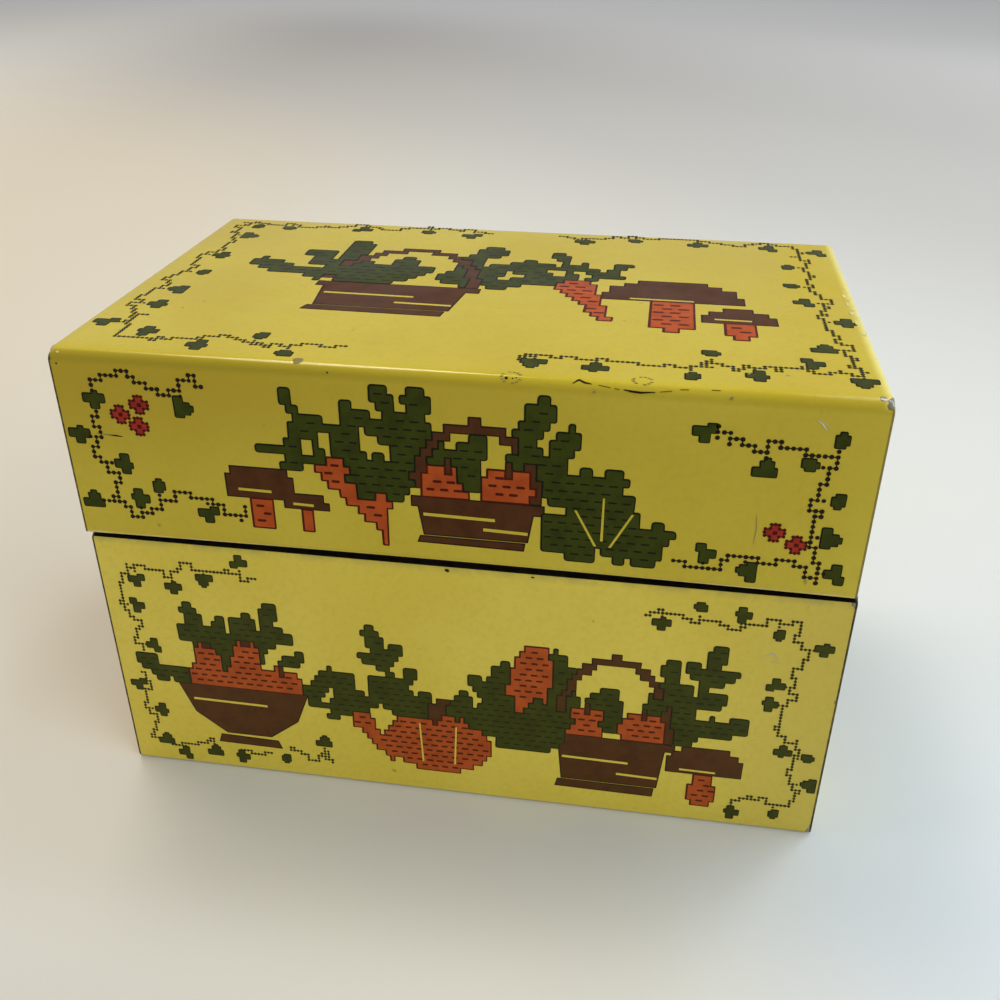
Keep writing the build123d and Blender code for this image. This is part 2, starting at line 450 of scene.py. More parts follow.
def lid_yellow(nodes, cloud):
    """The lid's colour: a painted dark reflection high on the front, strongest at the left, painted shade
    along its bend, and a painted highlight on the right's roll.
    """
    across, depth, height = nodes.across, nodes.depth, nodes.height
    # painted dark reflection: the upper front darker, most at the left, as if mirroring a dark room in front
    upper_front_dark_reflection = nodes.times(nodes.span_mm(depth, FRONT_Y + 1.0, FRONT_Y + 0.4), nodes.span_mm(height, 58, 85),
                          nodes.span_mm(across, 70, -70, 0.3, 1.7), 0.6)
    # painted shade: darker along the bend from the front to the top, most at the left
    bend_shade = nodes.times(nodes.span_mm(depth, FRONT_Y + 1.8, FRONT_Y + 0.9),
                       nodes.span_mm(height, LID_TOP_Z - 2.5, LID_TOP_Z - 1.3),
                       nodes.span_mm(across, -35, 10, 0.75, 0.4))
    # painted highlight: a pale band on the roll at the right end of the lid's top
    roll_highlight = nodes.times(nodes.span_mm(across, 64.4, 66.0),
                         nodes.span_mm(height, LID_TOP_Z - 1.9, LID_TOP_Z - 0.7), 0.85)
    colour = nodes.mix(cloud, (196, 172, 35), (203, 181, 49))
    colour = nodes.mix(upper_front_dark_reflection, colour, (180, 153, 18))
    colour = nodes.mix(bend_shade, colour, (158, 137, 26))
    return nodes.mix(roll_highlight, colour, (238, 224, 132))


def base_yellow(nodes, cloud):
    """The base's colour: paler than the lid's, a painted reflection of the bright floor, and with painted
    shade towards the right.
    """
    # painted reflection: paler than the lid's yellow, for the bright floor that the base's front mirrors
    colour = nodes.mix(cloud, (217, 192, 62), (224, 200, 74))
    # painted shade: darker towards the right end
    return nodes.mix(nodes.span_mm(nodes.across, 35, 68, 0, 0.8), colour, (202, 178, 66))


def rim_shade_and_highlight(nodes, colour):
    """Painted shade, in patches, along the base's shoulder line under the lid, and a painted highlight along
    the lid's lower edge.
    """
    height = nodes.height
    patchy = nodes.noise(210, detail=4, roughness=0.65)
    # painted shade in patches under the lid's overhang, along the base's top
    shoulder = nodes.times(nodes.span_mm(height, BASE_HEIGHT - 1.6, BASE_HEIGHT + 0.1),
                           nodes.span_mm(height, BASE_HEIGHT + 0.8, BASE_HEIGHT + 0.2),
                           nodes.span(patchy, 0.35, 0.65, 0.1, 0.5))
    # painted highlight: a pale line along the lid's lower edge
    lip = nodes.times(nodes.span_mm(height, LID_BOTTOM_Z + 0.4, LID_BOTTOM_Z),
                      nodes.span_mm(height, LID_BOTTOM_Z - 0.6, LID_BOTTOM_Z - 0.4),
                      nodes.span(patchy, 0.35, 0.6, 0.3, 0.8))
    return nodes.mix(lip, nodes.mix(shoulder, colour, (150, 138, 84)), (222, 204, 140))


def make_yellow_litho():
    """The printed sheets' yellow, under lacquer, with grime, painted light and shade, and corners worn to the
    tin.
    """
    nodes = Nodes("yellow_litho")
    cloud = nodes.span(nodes.noise(24), 0.35, 0.65)
    on_lid = nodes.span_mm(nodes.height, BASE_HEIGHT - 0.2, BASE_HEIGHT + 0.4)
    colour = nodes.mix(on_lid, base_yellow(nodes, cloud), lid_yellow(nodes, cloud))
    speckle = nodes.noise(900, detail=2)
    grime = nodes.noise(120, detail=5, roughness=0.7)
    fleck = nodes.noise(420, detail=1)
    colour = nodes.mix(nodes.span(speckle, 0.4, 0.75, 0.0, 0.12), colour, (168, 140, 30))
    colour = nodes.mix(nodes.span(grime, 0.58, 0.85, 0.0, 0.22), colour, (150, 124, 40))
    colour = nodes.mix(nodes.span(fleck, 0.78, 0.84, 0.0, 0.5), colour, (110, 92, 40))
    colour = rim_shade_and_highlight(nodes, colour)
    lacquer(nodes, colour, 0.11, 0.26, dulling=nodes.times(nodes.span_mm(nodes.across, 46, 60), 0.2))
    ragged = nodes.math("SUBTRACT", nodes.noise(1100), 0.5)
    worn, rusty = None, None
    for place, radius in WEAR_SPOTS:
        spot, ring = nodes.near(place, radius, ragged), nodes.near(place, radius * 1.3, ragged)
        worn = nodes.math("MAXIMUM", worn, spot) if worn else spot
        rusty = nodes.math("MAXIMUM", rusty, ring) if rusty else ring
    colour = nodes.mix(nodes.times(rusty, 0.85), colour, (92, 76, 44))
    nodes.set(Metallic=nodes.times(worn, 0.55), Base_Color=nodes.mix(worn, colour, (148, 144, 137)))


def make_shoulder_tin():
    """The sloping shoulder under the lid: unprinted, and painted near-black in patches as the deep shade of
    the gap under the lid.
    """
    nodes = Nodes("shoulder_shade_tin")
    grime = nodes.noise(380, detail=4, roughness=0.7)
    colour = nodes.mix(nodes.span(grime, 0.35, 0.7), (9, 7, 5), (24, 19, 12))
    nodes.set(Base_Color=colour, Roughness=nodes.span(grime, 0.3, 0.7, 0.5, 0.7), Specular_IOR_Level=0.08)


ROLLED_TIN = (30, 900, 900)      # streaks of the rolled sheet, along X


def make_neck_tin():
    """The hemmed neck: bare tinplate, painted dark near its root as the shade of the gap under the lid, rubbed
    bright where the lid slides.
    """
    nodes = Nodes("neck_tin")
    roll = nodes.streaks(ROLLED_TIN)
    rub = nodes.streaks((700, 700, 60), detail=3)
    # painted shade: the neck darkened near its root, in the gap under the lid
    root = nodes.span_mm(nodes.height, 55.2, 53.8)
    colour = nodes.mix(nodes.span(rub, 0.35, 0.7), (184, 178, 162), (146, 138, 120))
    colour = nodes.mix(root, colour, (34, 27, 18))
    rough = nodes.math("ADD", nodes.span(roll, 0.3, 0.7, 0.26, 0.38), nodes.times(root, 0.2))
    nodes.set(Base_Color=colour, Metallic=0.9, Roughness=rough, Normal=nodes.bump(roll, 0.00001, 0.3))


def make_raw_edge():
    """Cut edges: brown with rust, and with a painted highlight at the lid's right end."""
    nodes = Nodes("raw_edge")
    rust = nodes.noise(700, detail=4, roughness=0.7)
    # painted highlight on the cut edges at the lid's right end
    right_end_highlight = nodes.times(nodes.span_mm(nodes.across, 60, 66), nodes.span_mm(nodes.height, 53, 55), 0.6)
    colour = nodes.mix(nodes.span(rust, 0.4, 0.65), (48, 37, 18), (112, 94, 44))
    colour = nodes.mix(right_end_highlight, colour, (168, 148, 74))
    rough = nodes.span(rust, 0.3, 0.7, 0.35, 0.6)
    nodes.set(Base_Color=colour, Metallic=0.25, Specular_IOR_Level=0.3, Roughness=rough)


def make_bare_tin():
    """The inside of the sheets: tinplate with a dull bloom."""
    nodes = Nodes("bare_tin")
    roll = nodes.streaks(ROLLED_TIN)
    bloom = nodes.noise(160, detail=4, roughness=0.6)
    colour = nodes.mix(nodes.span(bloom, 0.4, 0.7), (186, 180, 164), (158, 150, 132))
    dull = nodes.span(bloom, 0.5, 0.75, 0.0, 0.14)
    rough = nodes.math("ADD", nodes.span(roll, 0.3, 0.7, 0.24, 0.34), dull)
    nodes.set(Base_Color=colour, Metallic=1.0, Roughness=rough, Normal=nodes.bump(roll, 0.00001, 0.3))


def make_wire():
    """The hinge pin: drawn steel wire."""
    nodes = Nodes("hinge_wire")
    draw = nodes.streaks((20, 1500, 1500))
    colour = nodes.mix(nodes.span(draw, 0.35, 0.65), (150, 146, 138), (112, 106, 96))
    nodes.set(Base_Color=colour, Metallic=1.0, Roughness=nodes.span(draw, 0.3, 0.7, 0.25, 0.45))


BASE_HAZE = 0.022                # the base's inks are mixed this much towards pale yellow, a painted reflection of the bright floor


def make_ink(name, colour, shade):
    """An opaque ink under the lacquer, blotched with its darker shade."""
    nodes = Nodes(name)
    blotch = nodes.noise(260, detail=4, roughness=0.6)
    tone = nodes.mix(nodes.span(blotch, 0.35, 0.68), colour, shade)
    # painted reflection: the base's inks paled a little towards yellow
    on_base = nodes.span_mm(nodes.height, BASE_HEIGHT + 0.4, BASE_HEIGHT - 0.2, 0.0, BASE_HAZE)
    lacquer(nodes, nodes.mix(on_base, tone, (204, 186, 110)), 0.24, 0.42, 0.09)


INKS = {                         # each ink's colour and the darker shade of its blotches
    "dark_ink": ((40, 29, 14), (30, 21, 10)),
    "vine_ink": ((56, 50, 16), (44, 40, 12)),
    "green_ink": ((58, 64, 10), (48, 53, 7)),
    "orange_ink": ((182, 80, 31), (164, 68, 24)),
    "brown_ink": ((83, 47, 20), (72, 39, 16)),
    "red_ink": ((84, 22, 8), (70, 18, 6)),
    "leaf_line_ink": ((22, 26, 8), (16, 20, 6)),
    "petal_ink": ((168, 50, 36), (140, 38, 28)),
    "chip_ink": ((44, 32, 14), (28, 20, 8)),
    "scuff_ink": ((150, 134, 84), (128, 112, 66)),
    "bright_scratch_ink": ((214, 210, 196), (180, 176, 160)),
    "pale_scuff_ink": ((222, 210, 146), (208, 196, 136)),
}
INK_MATERIALS = [*INKS, "yellow_litho"]
SHEET_MATERIALS = ["yellow_litho", "bare_tin", "raw_edge", "shoulder_shade_tin", "neck_tin"]

make_yellow_litho()
make_shoulder_tin()
make_neck_tin()
make_raw_edge()
make_bare_tin()
make_wire()
for ink_name, ink_tones in INKS.items():
    make_ink(ink_name, *ink_tones)


# ---------------------------------------------------------------- the six sheets


def make_base_wrapper():
    """Front, floor and back of the base, the front's hemmed neck, and three knuckles."""
    shell = Shell("base_front_floor_back", "base", SHEET_MATERIALS)
    neck_y = FRONT_Y + NECK_INSET
    hem_y = neck_y + HEM_WIDTH
    walls = [(neck_y, NECK_TRIM_Z), (neck_y, NECK_ROOT_Z), (FRONT_Y, BASE_HEIGHT), (FRONT_Y, 0),
             (BACK_Y, 0), (BACK_Y, HINGE_Z - CUT_BACK)]
    samples = trace(walls, [NECK_TRIM_BEND, SHOULDER_BEND, BASE_BEND, BASE_BEND], 1)
    add_sheet(shell, samples, "x", -BASE_X, BASE_X, "yellow_litho")
    neck = [(hem_y, HEM_FOOT_Z), (hem_y, NECK_TOP_Z), (neck_y, NECK_TOP_Z), (neck_y, NECK_TRIM_Z)]
    samples = trace(neck, [HEM_WIDTH / 2] * 2, 1)
    add_sheet(shell, samples, "x", -BASE_X + NECK_INSET, BASE_X - NECK_INSET, "neck_tin", flat=True)
    add_knuckles(shell, 1, 0, 0, 0)
    shell.make("base_wrapper")


def make_lid_wrapper():
    """Front, top and back of the lid with the front's hem, and two knuckles."""
    shell = Shell("lid_front_top_back", "lid", SHEET_MATERIALS)
    hem_y = FRONT_Y + HEM_WIDTH
    points = [(hem_y, LID_BOTTOM_Z + HEM_HEIGHT), (hem_y, LID_BOTTOM_Z), (FRONT_Y, LID_BOTTOM_Z),
              (FRONT_Y, LID_TOP_Z), (BACK_Y, LID_TOP_Z), (BACK_Y, HINGE_Z + CUT_BACK)]
    samples = trace(points, [HEM_WIDTH / 2, HEM_WIDTH / 2, LID_BEND, LID_BEND], -1)
    add_sheet(shell, samples, "x", LID_MID_X - LID_X, LID_MID_X + LID_X, "yellow_litho")
    add_knuckles(shell, -1, 1, KNUCKLE_PLAY, LID_MID_X)
    shell.make("lid_wrapper")


def flange_section(side_x, face, inward):
    """Samples of a flange of the end at `side_x`, inside the sheet whose outer face is at `face`."""
    sign = math.copysign(1, side_x)
    inner = face + inward * SHEET
    bend_end = inner + inward * FLANGE_BEND
    points = [(side_x - sign * FLANGE_WIDTH, inner), (side_x, inner), (side_x, bend_end)]
    return trace(points, [FLANGE_BEND], inward * sign)


def add_upright_flange(shell, side_x, face_y, low, high):
    samples = flange_section(side_x, face_y, -math.copysign(1, face_y))
    add_sheet(shell, samples, "z", low, high, "bare_tin", False, True)


def add_level_flange(shell, side_x, face_z, inward):
    samples = flange_section(side_x, face_z, inward)
    low, high = FRONT_Y + FLANGE_SETBACK, BACK_Y - FLANGE_SETBACK
    add_sheet(shell, samples, "y", low, high, "bare_tin", False, True)


def add_web(shell, side_x, low_y, high_y, low_z, high_z):
    """A flat stretch of an end."""
    samples = trace([(side_x, low_z), (side_x, high_z)], [], math.copysign(1, side_x))
    add_sheet(shell, samples, "y", low_y, high_y, "yellow_litho", False)


def make_base_end(name, side):
    """An end of the base: its web, neck and hem, three flanges, and a cut-out for the hinge."""
    shell = Shell(f"base_{name}_panel", "base", SHEET_MATERIALS)
    side_x = side * BASE_X
    neck_front_y = FRONT_Y + NECK_INSET + HEM_WIDTH + HEM_FIT
    cut_y = HINGE_Y - CUT_LENGTH
    cut_z = HINGE_Z - CUT_BACK
    plain_top = BASE_HEIGHT - SHOULDER_ROOM
    add_web(shell, side_x, FRONT_Y + WEB_INSET, neck_front_y, WEB_INSET, plain_top)
    add_web(shell, side_x, SIDE_NECK_BACK_Y, cut_y, WEB_INSET, BASE_HEIGHT)
    add_web(shell, side_x, cut_y, BACK_Y - WEB_INSET, WEB_INSET, cut_z)
    neck_x = side_x - side * NECK_INSET
    hem_x = neck_x - side * HEM_WIDTH
    walls = [(side_x, WEB_INSET), (side_x, BASE_HEIGHT), (neck_x, NECK_ROOT_Z), (neck_x, NECK_TRIM_Z)]
    samples = trace(walls, [SHOULDER_BEND, NECK_TRIM_BEND], side)
    add_sheet(shell, samples, "y", neck_front_y, SIDE_NECK_BACK_Y, "yellow_litho", False)
    neck = [(neck_x, NECK_TRIM_Z), (neck_x, NECK_TOP_Z), (hem_x, NECK_TOP_Z), (hem_x, HEM_FOOT_Z)]
    samples = trace(neck, [HEM_WIDTH / 2] * 2, side)
    add_sheet(shell, samples, "y", neck_front_y, SIDE_NECK_BACK_Y, "neck_tin", True, True)
    add_level_flange(shell, side_x, 0, 1)
    add_upright_flange(shell, side_x, FRONT_Y, FLANGE_SETBACK, plain_top - EDGE_ROOM)
    add_upright_flange(shell, side_x, BACK_Y, FLANGE_SETBACK, cut_z - EDGE_ROOM)
    for y in (FRONT_Y + BASE_BEND, BACK_Y - BASE_BEND):
        add_disc(shell, side_x, y, BASE_BEND, BASE_BEND - SHEET - CORNER_FIT)
    shell.make(f"base_{name}_end")


def make_lid_end(name, side):
    """An end of the lid: its web with two round corners, three flanges, and a cut-out for the hinge."""
    shell = Shell(f"lid_{name}_panel", "lid", SHEET_MATERIALS)
    side_x = LID_MID_X + side * LID_X
    cut_z = HINGE_Z + CUT_BACK
    bend_start = LID_TOP_Z - LID_BEND
    front_bend, back_bend = FRONT_Y + LID_BEND, BACK_Y - LID_BEND
    add_web(shell, side_x, FRONT_Y + WEB_INSET, front_bend, LID_BOTTOM_Z, bend_start)
    add_web(shell, side_x, front_bend, back_bend, LID_BOTTOM_Z, LID_TOP_Z - WEB_INSET)
    add_web(shell, side_x, back_bend, BACK_Y - WEB_INSET, cut_z, bend_start)
    flange_top = bend_start - EDGE_ROOM
    add_level_flange(shell, side_x, LID_TOP_Z, -1)
    add_upright_flange(shell, side_x, FRONT_Y, LID_BOTTOM_Z + HEM_HEIGHT + EDGE_ROOM, flange_top)
    add_upright_flange(shell, side_x, BACK_Y, cut_z + EDGE_ROOM, flange_top)
    for y in (front_bend, back_bend):
        add_disc(shell, side_x, y, bend_start, LID_BEND - SHEET - CORNER_FIT)
    shell.make(f"lid_{name}_end")


make_base_wrapper()
make_lid_wrapper()
for end_name, end_side in (("left", -1), ("right", 1)):
    make_base_end(end_name, end_side)
    make_lid_end(end_name, end_side)

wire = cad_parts["hinge_pin"]
wire.data.materials.clear()
wire.data.materials.append(bpy.data.materials["hinge_wire"])


# ---------------------------------------------------------------- the print


STITCH = 1.0                     # one stitch of the printed chart, across
ROW = 1.5                        # and up
SQUARES = 2                      # squares to a millimetre, in the map of what is stitched
LINE = 0.25                      # dark line round each colour
LINE_OUT, LINE_IN = 0.4, 0.6     # how much of it lies outside and inside the shape's edge
INK_ROOT = -0.02                 # ink reaches this far under the painted face
DOT_SIDES = 8
MISPRINT = Vector((0.05, -0.04)) # the colours lie this far off their lines
LEVELS = {                       # how high each layer of ink stands on the painted face
    "brown_line": 0.012, "brown": 0.020, "slit": 0.028, "orange_line": 0.036, "orange": 0.044,
    "petal_line": 0.036, "petal": 0.044,
    "green_line": 0.052, "green": 0.060, "dash": 0.068, "vein": 0.072,
}
CORNER_ROUNDING = {"green": 0.50, "orange": 0.12, "brown": 0.08, "petal": 0.4}
BLOCK_ROUNDING = 0.02
BLOCK_ROOM = 0.8                 # brown stitches keep this far from a brown block
LINE_INKS = {"green": "leaf_line_ink", "orange": "red_ink", "brown": "dark_ink", "petal": "red_ink"}
ORANGE_LINE = 1.35               # the line round orange is this many times as wide
HOLE_STITCHES = 4                # holes of up to this many stitches are filled
JOIN_ROUNDS = 4                  # and so many rounds join what touches only at a corner
PANEL_MARGIN = 2.2               # stitches nearer than this to a panel's edge are left out
WOBBLE = 0.055                   # how far a stitch corner strays from the grid
DASH_PITCH = 2.3                 # the dashes inside a colour: from one to the next
DASH_HALF = 0.78                 # and half their length
DASH_TIP = 0.2                   # and that of their pointed ends
ORANGE_DASH, PLAIN_DASH = 0.24, 0.15     # and half their thickness
LEAF_RIM = 1.45                  # a border leaf keeps this share of its reach from the panel's edge


class Face:
    """A printed face. Places on it are (across, up) from its lower left corner, seen from outside."""

    def __init__(self, body, corner, across, up, width, height):
        self.body = body
        self.corner = Vector(corner)
        self.across = Vector(across)
        self.up = Vector(up)
        self.normal = self.across.cross(self.up)
        self.width = width
        self.height = height
        self.stitched = set()            # squares under the large motifs
        self.beads = []                  # places of the border's beads
        self.sprites = []                # places of its leaves and blossoms

    def is_stitched(self, spot, reach):
        """Whether a large motif covers anything within reach of a spot."""
        columns, rows = (range(math.floor((p - reach) * SQUARES), math.floor((p + reach) * SQUARES) + 1)
                         for p in spot)
        return any((i, j) in self.stitched for i in columns for j in rows)

    def holds(self, spot, margin):
        """Whether a spot is at least this far from every edge."""
        return margin < spot.x < self.width - margin and margin < spot.y < self.height - margin

    def has_room(self, spot, reach):
        """Whether a border leaf fits at a spot."""
        apart = all((spot - s).length > 2.1 * reach for s in self.sprites)
        clear = all((spot - s).length > 1.1 * reach for s in self.beads)
        free = apart and clear and not self.is_stitched(spot, reach * 1.1)
        return free and self.holds(spot, LEAF_RIM * reach)

    def place(self, u, v, lift):
        point = self.corner + self.across * u + self.up * v
        return settle(self.body, point, self.normal) + self.normal * lift


def make_faces():
    """The nine printed faces, by body and side."""
    faces = {}
    left, right = LID_MID_X - LID_X, LID_MID_X + LID_X
    depth = BACK_Y - FRONT_Y
    for body, x_low, x_high, z, height in (("lid", left, right, LID_BOTTOM_Z, LID_TOP_Z - LID_BOTTOM_Z),
                                           ("base", -BASE_X, BASE_X, 0, BASE_HEIGHT)):
        width = x_high - x_low
        for side, x, y, across, length in (
                ("front", x_low, FRONT_Y, (1, 0, 0), width), ("back", x_high, BACK_Y, (-1, 0, 0), width),
                ("left", x_low, BACK_Y, (0, -1, 0), depth), ("right", x_high, FRONT_Y, (0, 1, 0), depth)):
            faces[body, side] = Face(body, (x, y, z), across, (0, 0, 1), length, height)
    faces["lid", "top"] = Face("lid", (left, FRONT_Y, LID_TOP_Z), (1, 0, 0), (0, 1, 0), right - left, depth)
    return faces


def corner_loops(cells):
    """Loops of cell corners round a set of cells, with the cells on the left of each loop."""
    ways = {}
    for i, j in cells:
        square = [(i, j), (i + 1, j), (i + 1, j + 1), (i, j + 1)]
        beyond = [(i, j - 1), (i + 1, j), (i, j + 1), (i - 1, j)]
        for k in range(4):
            if beyond[k] not in cells:
                ways.setdefault(square[k], []).append(square[(k + 1) % 4])
    loops = []
    while ways:
        loop = [min(ways)]
        here, step = loop[0], (0, 0)
        while True:
            options = ways[here]
            options.sort(key=lambda c: step[0] * (c[1] - here[1]) - step[1] * (c[0] - here[0]))
            after = options.pop()
            if not options:
                del ways[here]
            step = (after[0] - here[0], after[1] - here[1])
            here = after
            if here == loop[0]:
                break
            loop.append(here)
        around = zip([loop[-1]] + loop[:-1], loop, loop[1:] + [loop[0]])
        loops.append([b for a, b, c in around if not (a[0] == b[0] == c[0] or a[1] == b[1] == c[1])])
    return loops


def grown(loop, grow, radius):
    """A loop moved outward by `grow`, with its convex corners rounded."""
    outline = []
    count = len(loop)
    for k in range(count):
        into = loop[k] - loop[k - 1]
        out = loop[(k + 1) % count] - loop[k]
        room = 0.45 * min(into.length, out.length)
        into.normalize()
        out.normalize()
        sides = Vector((into.y + out.y, -into.x - out.x))
        spot = loop[k] + sides * (grow / (1 + into.dot(out)))
        turn = into.x * out.y - into.y * out.x
        reach = min(radius + grow, room)
        if turn > 0.2 and reach > 0.02:
            centre = spot - into * reach + out * reach
            for step in range(4):
                angle = math.pi / 2 * step / 3
                outline.append(centre - out * (reach * math.cos(angle)) + into * (reach * math.sin(angle)))
        else:
            outline.append(spot)
    return outline


class Ink:
    """Everything printed on one body: flat closed prisms, a few hundredths of a millimetre thick."""

    def __init__(self, name, body):
        self.shell = Shell(name, body, INK_MATERIALS)

    def prism(self, face, loops, level, material):
        """Ink inside the first loop and outside the others, up to its level."""
        flat = [[Vector((p.x, p.y, 0)) for p in loop] for loop in loops]
        triangles = tessellate_polygon(flat)
        verts = self.shell.verts
        first = len(verts)
        points = [p for loop in loops for p in loop]
        for lift in (LEVELS[level], INK_ROOT):
            verts.extend(face.place(p.x, p.y, lift) for p in points)
        count = len(points)
        for a, b, c in triangles:
            self.shell.face([first + a, first + b, first + c], material)
            self.shell.face([first + count + c, first + count + b, first + count + a], material)
        start = first
        for loop in loops:
            for k in range(len(loop)):
                a, b = start + k, start + (k + 1) % len(loop)
                self.shell.face([b, a, a + count, b + count], material)
            start += len(loop)

    def dot(self, face, spot, radius, material, level="green"):
        """A bead of a vine or a blossom."""
        self.prism(face, [[spot + way * radius for way in circle(DOT_SIDES)]], level, material)

    def thread(self, face, a, b, width, material):
        """The thread from one bead to the next."""
        along = (b - a).normalized() * (width / 2)
        side = Vector((-along.y, along.x))
        ends = [a - along + side, a - along - side, b + along - side, b + along + side]
        self.prism(face, [ends], "brown_line", material)


def beside(spot):
    """The four cells that share an edge with a cell."""
    i, j = spot
    return [(i + 1, j), (i - 1, j), (i, j + 1), (i, j - 1)]


def joined(cells):
    """The separate regions of a set of cells."""
    left = set(cells)
    parts = []
    while left:
        part = {min(left)}
        edge = list(part)
        left -= part
        while edge:
            for near in beside(edge.pop()):
                if near in left:
                    left.remove(near)
                    part.add(near)
                    edge.append(near)
        parts.append(part)
    return parts


class Chart:
    """A stitch chart on a face. Shapes are given in chart units, which `scale` turns into millimetres."""

    def __init__(self, ink, face, u, v, scale, mirrored=False, row=ROW, line=LINE):
        self.row = row
        self.line = line * scale
        self.ink = ink
        self.face = face
        self.start = Vector((u, v))
        self.scale = scale
        self.mirrored = mirrored
        self.cells = {}
        self.blocks = []

    def middle(self, i, j):
        """The middle of a stitch, in chart units."""
        return Vector(((i + 0.5) * STITCH, (j + 0.5) * self.row))

    def fill(self, colour, inside, u, v, reach):
        """Gives the stitches that are `inside`, within reach of a spot, a colour. None unpicks them."""
        for i in range(math.floor((u - reach) / STITCH), math.ceil((u + reach) / STITCH) + 1):
            for j in range(math.floor((v - reach) / self.row), math.ceil((v + reach) / self.row) + 1):
                if inside(self.middle(i, j)):
                    if colour:
                        self.cells[i, j] = colour
                    else:
                        self.cells.pop((i, j), None)

    def oval(self, colour, u, v, half_length, half_width, tilt=0.0):
        """A filled ellipse, with its length along `tilt`."""
        turn = math.radians(tilt)

        def inside(p):
            local = turned(p - Vector((u, v)), -turn)
            return (local.x / half_length) ** 2 + (local.y / half_width) ** 2 <= 1

        self.fill(colour, inside, u, v, max(half_length, half_width))

    def limb(self, colour, spots, wide, narrow):
        """A band along a line of spots, from `wide` to `narrow` across."""
        spots = [Vector(s) for s in spots]
        lengths = [(b - a).length for a, b in zip(spots, spots[1:])]

        def inside(p):
            done = 0
            for a, b, length in zip(spots, spots[1:], lengths):
                share = min(1, max(0, (p - a).dot(b - a) / length ** 2))
                width = wide + (narrow - wide) * (done + share * length) / sum(lengths)
                if (p - a.lerp(b, share)).length <= width / 2:
                    return True
                done += length
            return False

        middle = sum(spots, Vector((0, 0))) / len(spots)
        self.fill(colour, inside, middle.x, middle.y, max((s - middle).length for s in spots) + wide)

    def block(self, colour, start, unit, *spots):
        """A plain polygon, from spots given in units across of `unit` and in chart units up."""
        self.blocks.append((colour, [Vector((start[0] + unit * x, start[1] + y)) for x, y in spots]))

    def to_face(self, p):
        u = -p.x if self.mirrored else p.x
        return self.start + Vector((u, p.y)) * self.scale

    def loop(self, spots):
        """A loop of chart spots as places on the face, still anticlockwise."""
        places = [self.to_face(p) for p in spots]
        return places[::-1] if self.mirrored else places

    def lay(self, colour, loops, line, radius, shift):
        """Prints loops of one colour: a line round them, and inside it the colour, shifted a little."""
        outlines = [grown(loop, line * LINE_OUT, radius) for loop in loops]
        filled = [[p + shift for p in grown(loop, -line * LINE_IN, radius)] for loop in loops]
        self.ink.prism(self.face, outlines, f"{colour}_line", LINE_INKS[colour])
        self.ink.prism(self.face, filled, colour, f"{colour}_ink")

    def tidy(self):
        """Joins stitches of one colour that touch only at a corner."""
        for _ in range(JOIN_ROUNDS):
            for i, j in sorted(self.cells):
                colour = self.cells[i, j]
                for side in (-1, 1):
                    over, aside, above = (self.cells.get(c) == colour for c in
                                          ((i + side, j + 1), (i + side, j), (i, j + 1)))
                    if over and not aside and not above:
                        self.cells[i + side, j] = colour

    def mend(self):
        """Fills small holes, and recolours single stitches lost inside another colour."""
        for start in sorted({cell for spot in self.cells for cell in beside(spot)} - set(self.cells)):
            hole, edge = {start}, [start]
            while edge and len(hole) <= HOLE_STITCHES:
                fresh = [c for c in beside(edge.pop()) if c not in self.cells and c not in hole]
                hole.update(fresh)
                edge.extend(fresh)
            if len(hole) <= HOLE_STITCHES:
                around = [self.cells[c] for spot in sorted(hole) for c in beside(spot) if c in self.cells]
                self.cells.update({spot: max(sorted(set(around)), key=around.count) for spot in hole})
        for spot in sorted(self.cells):
            around = [self.cells.get(c) for c in beside(spot)]
            if None not in around and self.cells[spot] not in around and around.count(around[0]) > 1:
                self.cells[spot] = around[0]

    def corner(self, i, j):
        """A stitch corner, a little off its grid as on a hand-drawn chart."""
        wobble = WOBBLE * noise.noise(Vector((i * 1.7 + 0.3, j * 2.3 + 0.6, 0.5)))
        return Vector((i * STITCH + 2 * wobble, j * self.row + 0.6 * wobble))

    def claim(self):
        """Keeps the stitches inside the panel, and marks where they are, so that the border stays clear."""
        face = self.face
        for i, j in sorted(self.cells):
            middle = self.to_face(self.middle(i, j))
            if face.holds(middle, PANEL_MARGIN):
                face.stitched.add((math.floor(middle.x * SQUARES), math.floor(middle.y * SQUARES)))
            else:
                del self.cells[i, j]
        for colour, spots in self.blocks:
            if colour == "brown":
                outline = grown(spots, BLOCK_ROOM, 0)
                sides = list(zip(outline, outline[1:] + outline[:1]))
                for cell in sorted(self.cells):
                    middle = self.middle(*cell)
                    if self.cells[cell] == "brown" and all((b - a).cross(middle - a) > 0 for a, b in sides):
                        del self.cells[cell]
            corners = zip(*(self.to_face(p) * SQUARES for p in spots))
            columns, rows = (range(math.floor(min(c)), math.ceil(max(c))) for c in corners)
            face.stitched.update((i, j) for i in columns for j in rows)

    def print(self, claims=True):
        """Prints the blocks and the stitches. A large motif also claims its room and has dashes."""
        if claims:
            self.mend()
            self.claim()
        self.tidy()
        for colour, spots in self.blocks:
            if colour in ("slit", "vein"):
                self.ink.prism(self.face, [self.loop(spots)], colour, "yellow_litho")
            else:
                self.lay(colour, [self.loop(spots)], self.line, BLOCK_ROUNDING, Vector((0, 0)))
        for colour in ("brown", "orange", "petal", "green"):
            cells = {cell for cell, ink in self.cells.items() if ink == colour}
            line = self.line * (ORANGE_LINE if colour == "orange" else 1)
            for part in joined(cells):
                loops = [self.loop([self.corner(i, j) for i, j in loop]) for loop in corner_loops(part)]
                self.lay(colour, loops, line, CORNER_ROUNDING[colour] * self.scale, MISPRINT)
            if claims and colour != "brown" and cells:
                self.print_dashes(colour, cells)

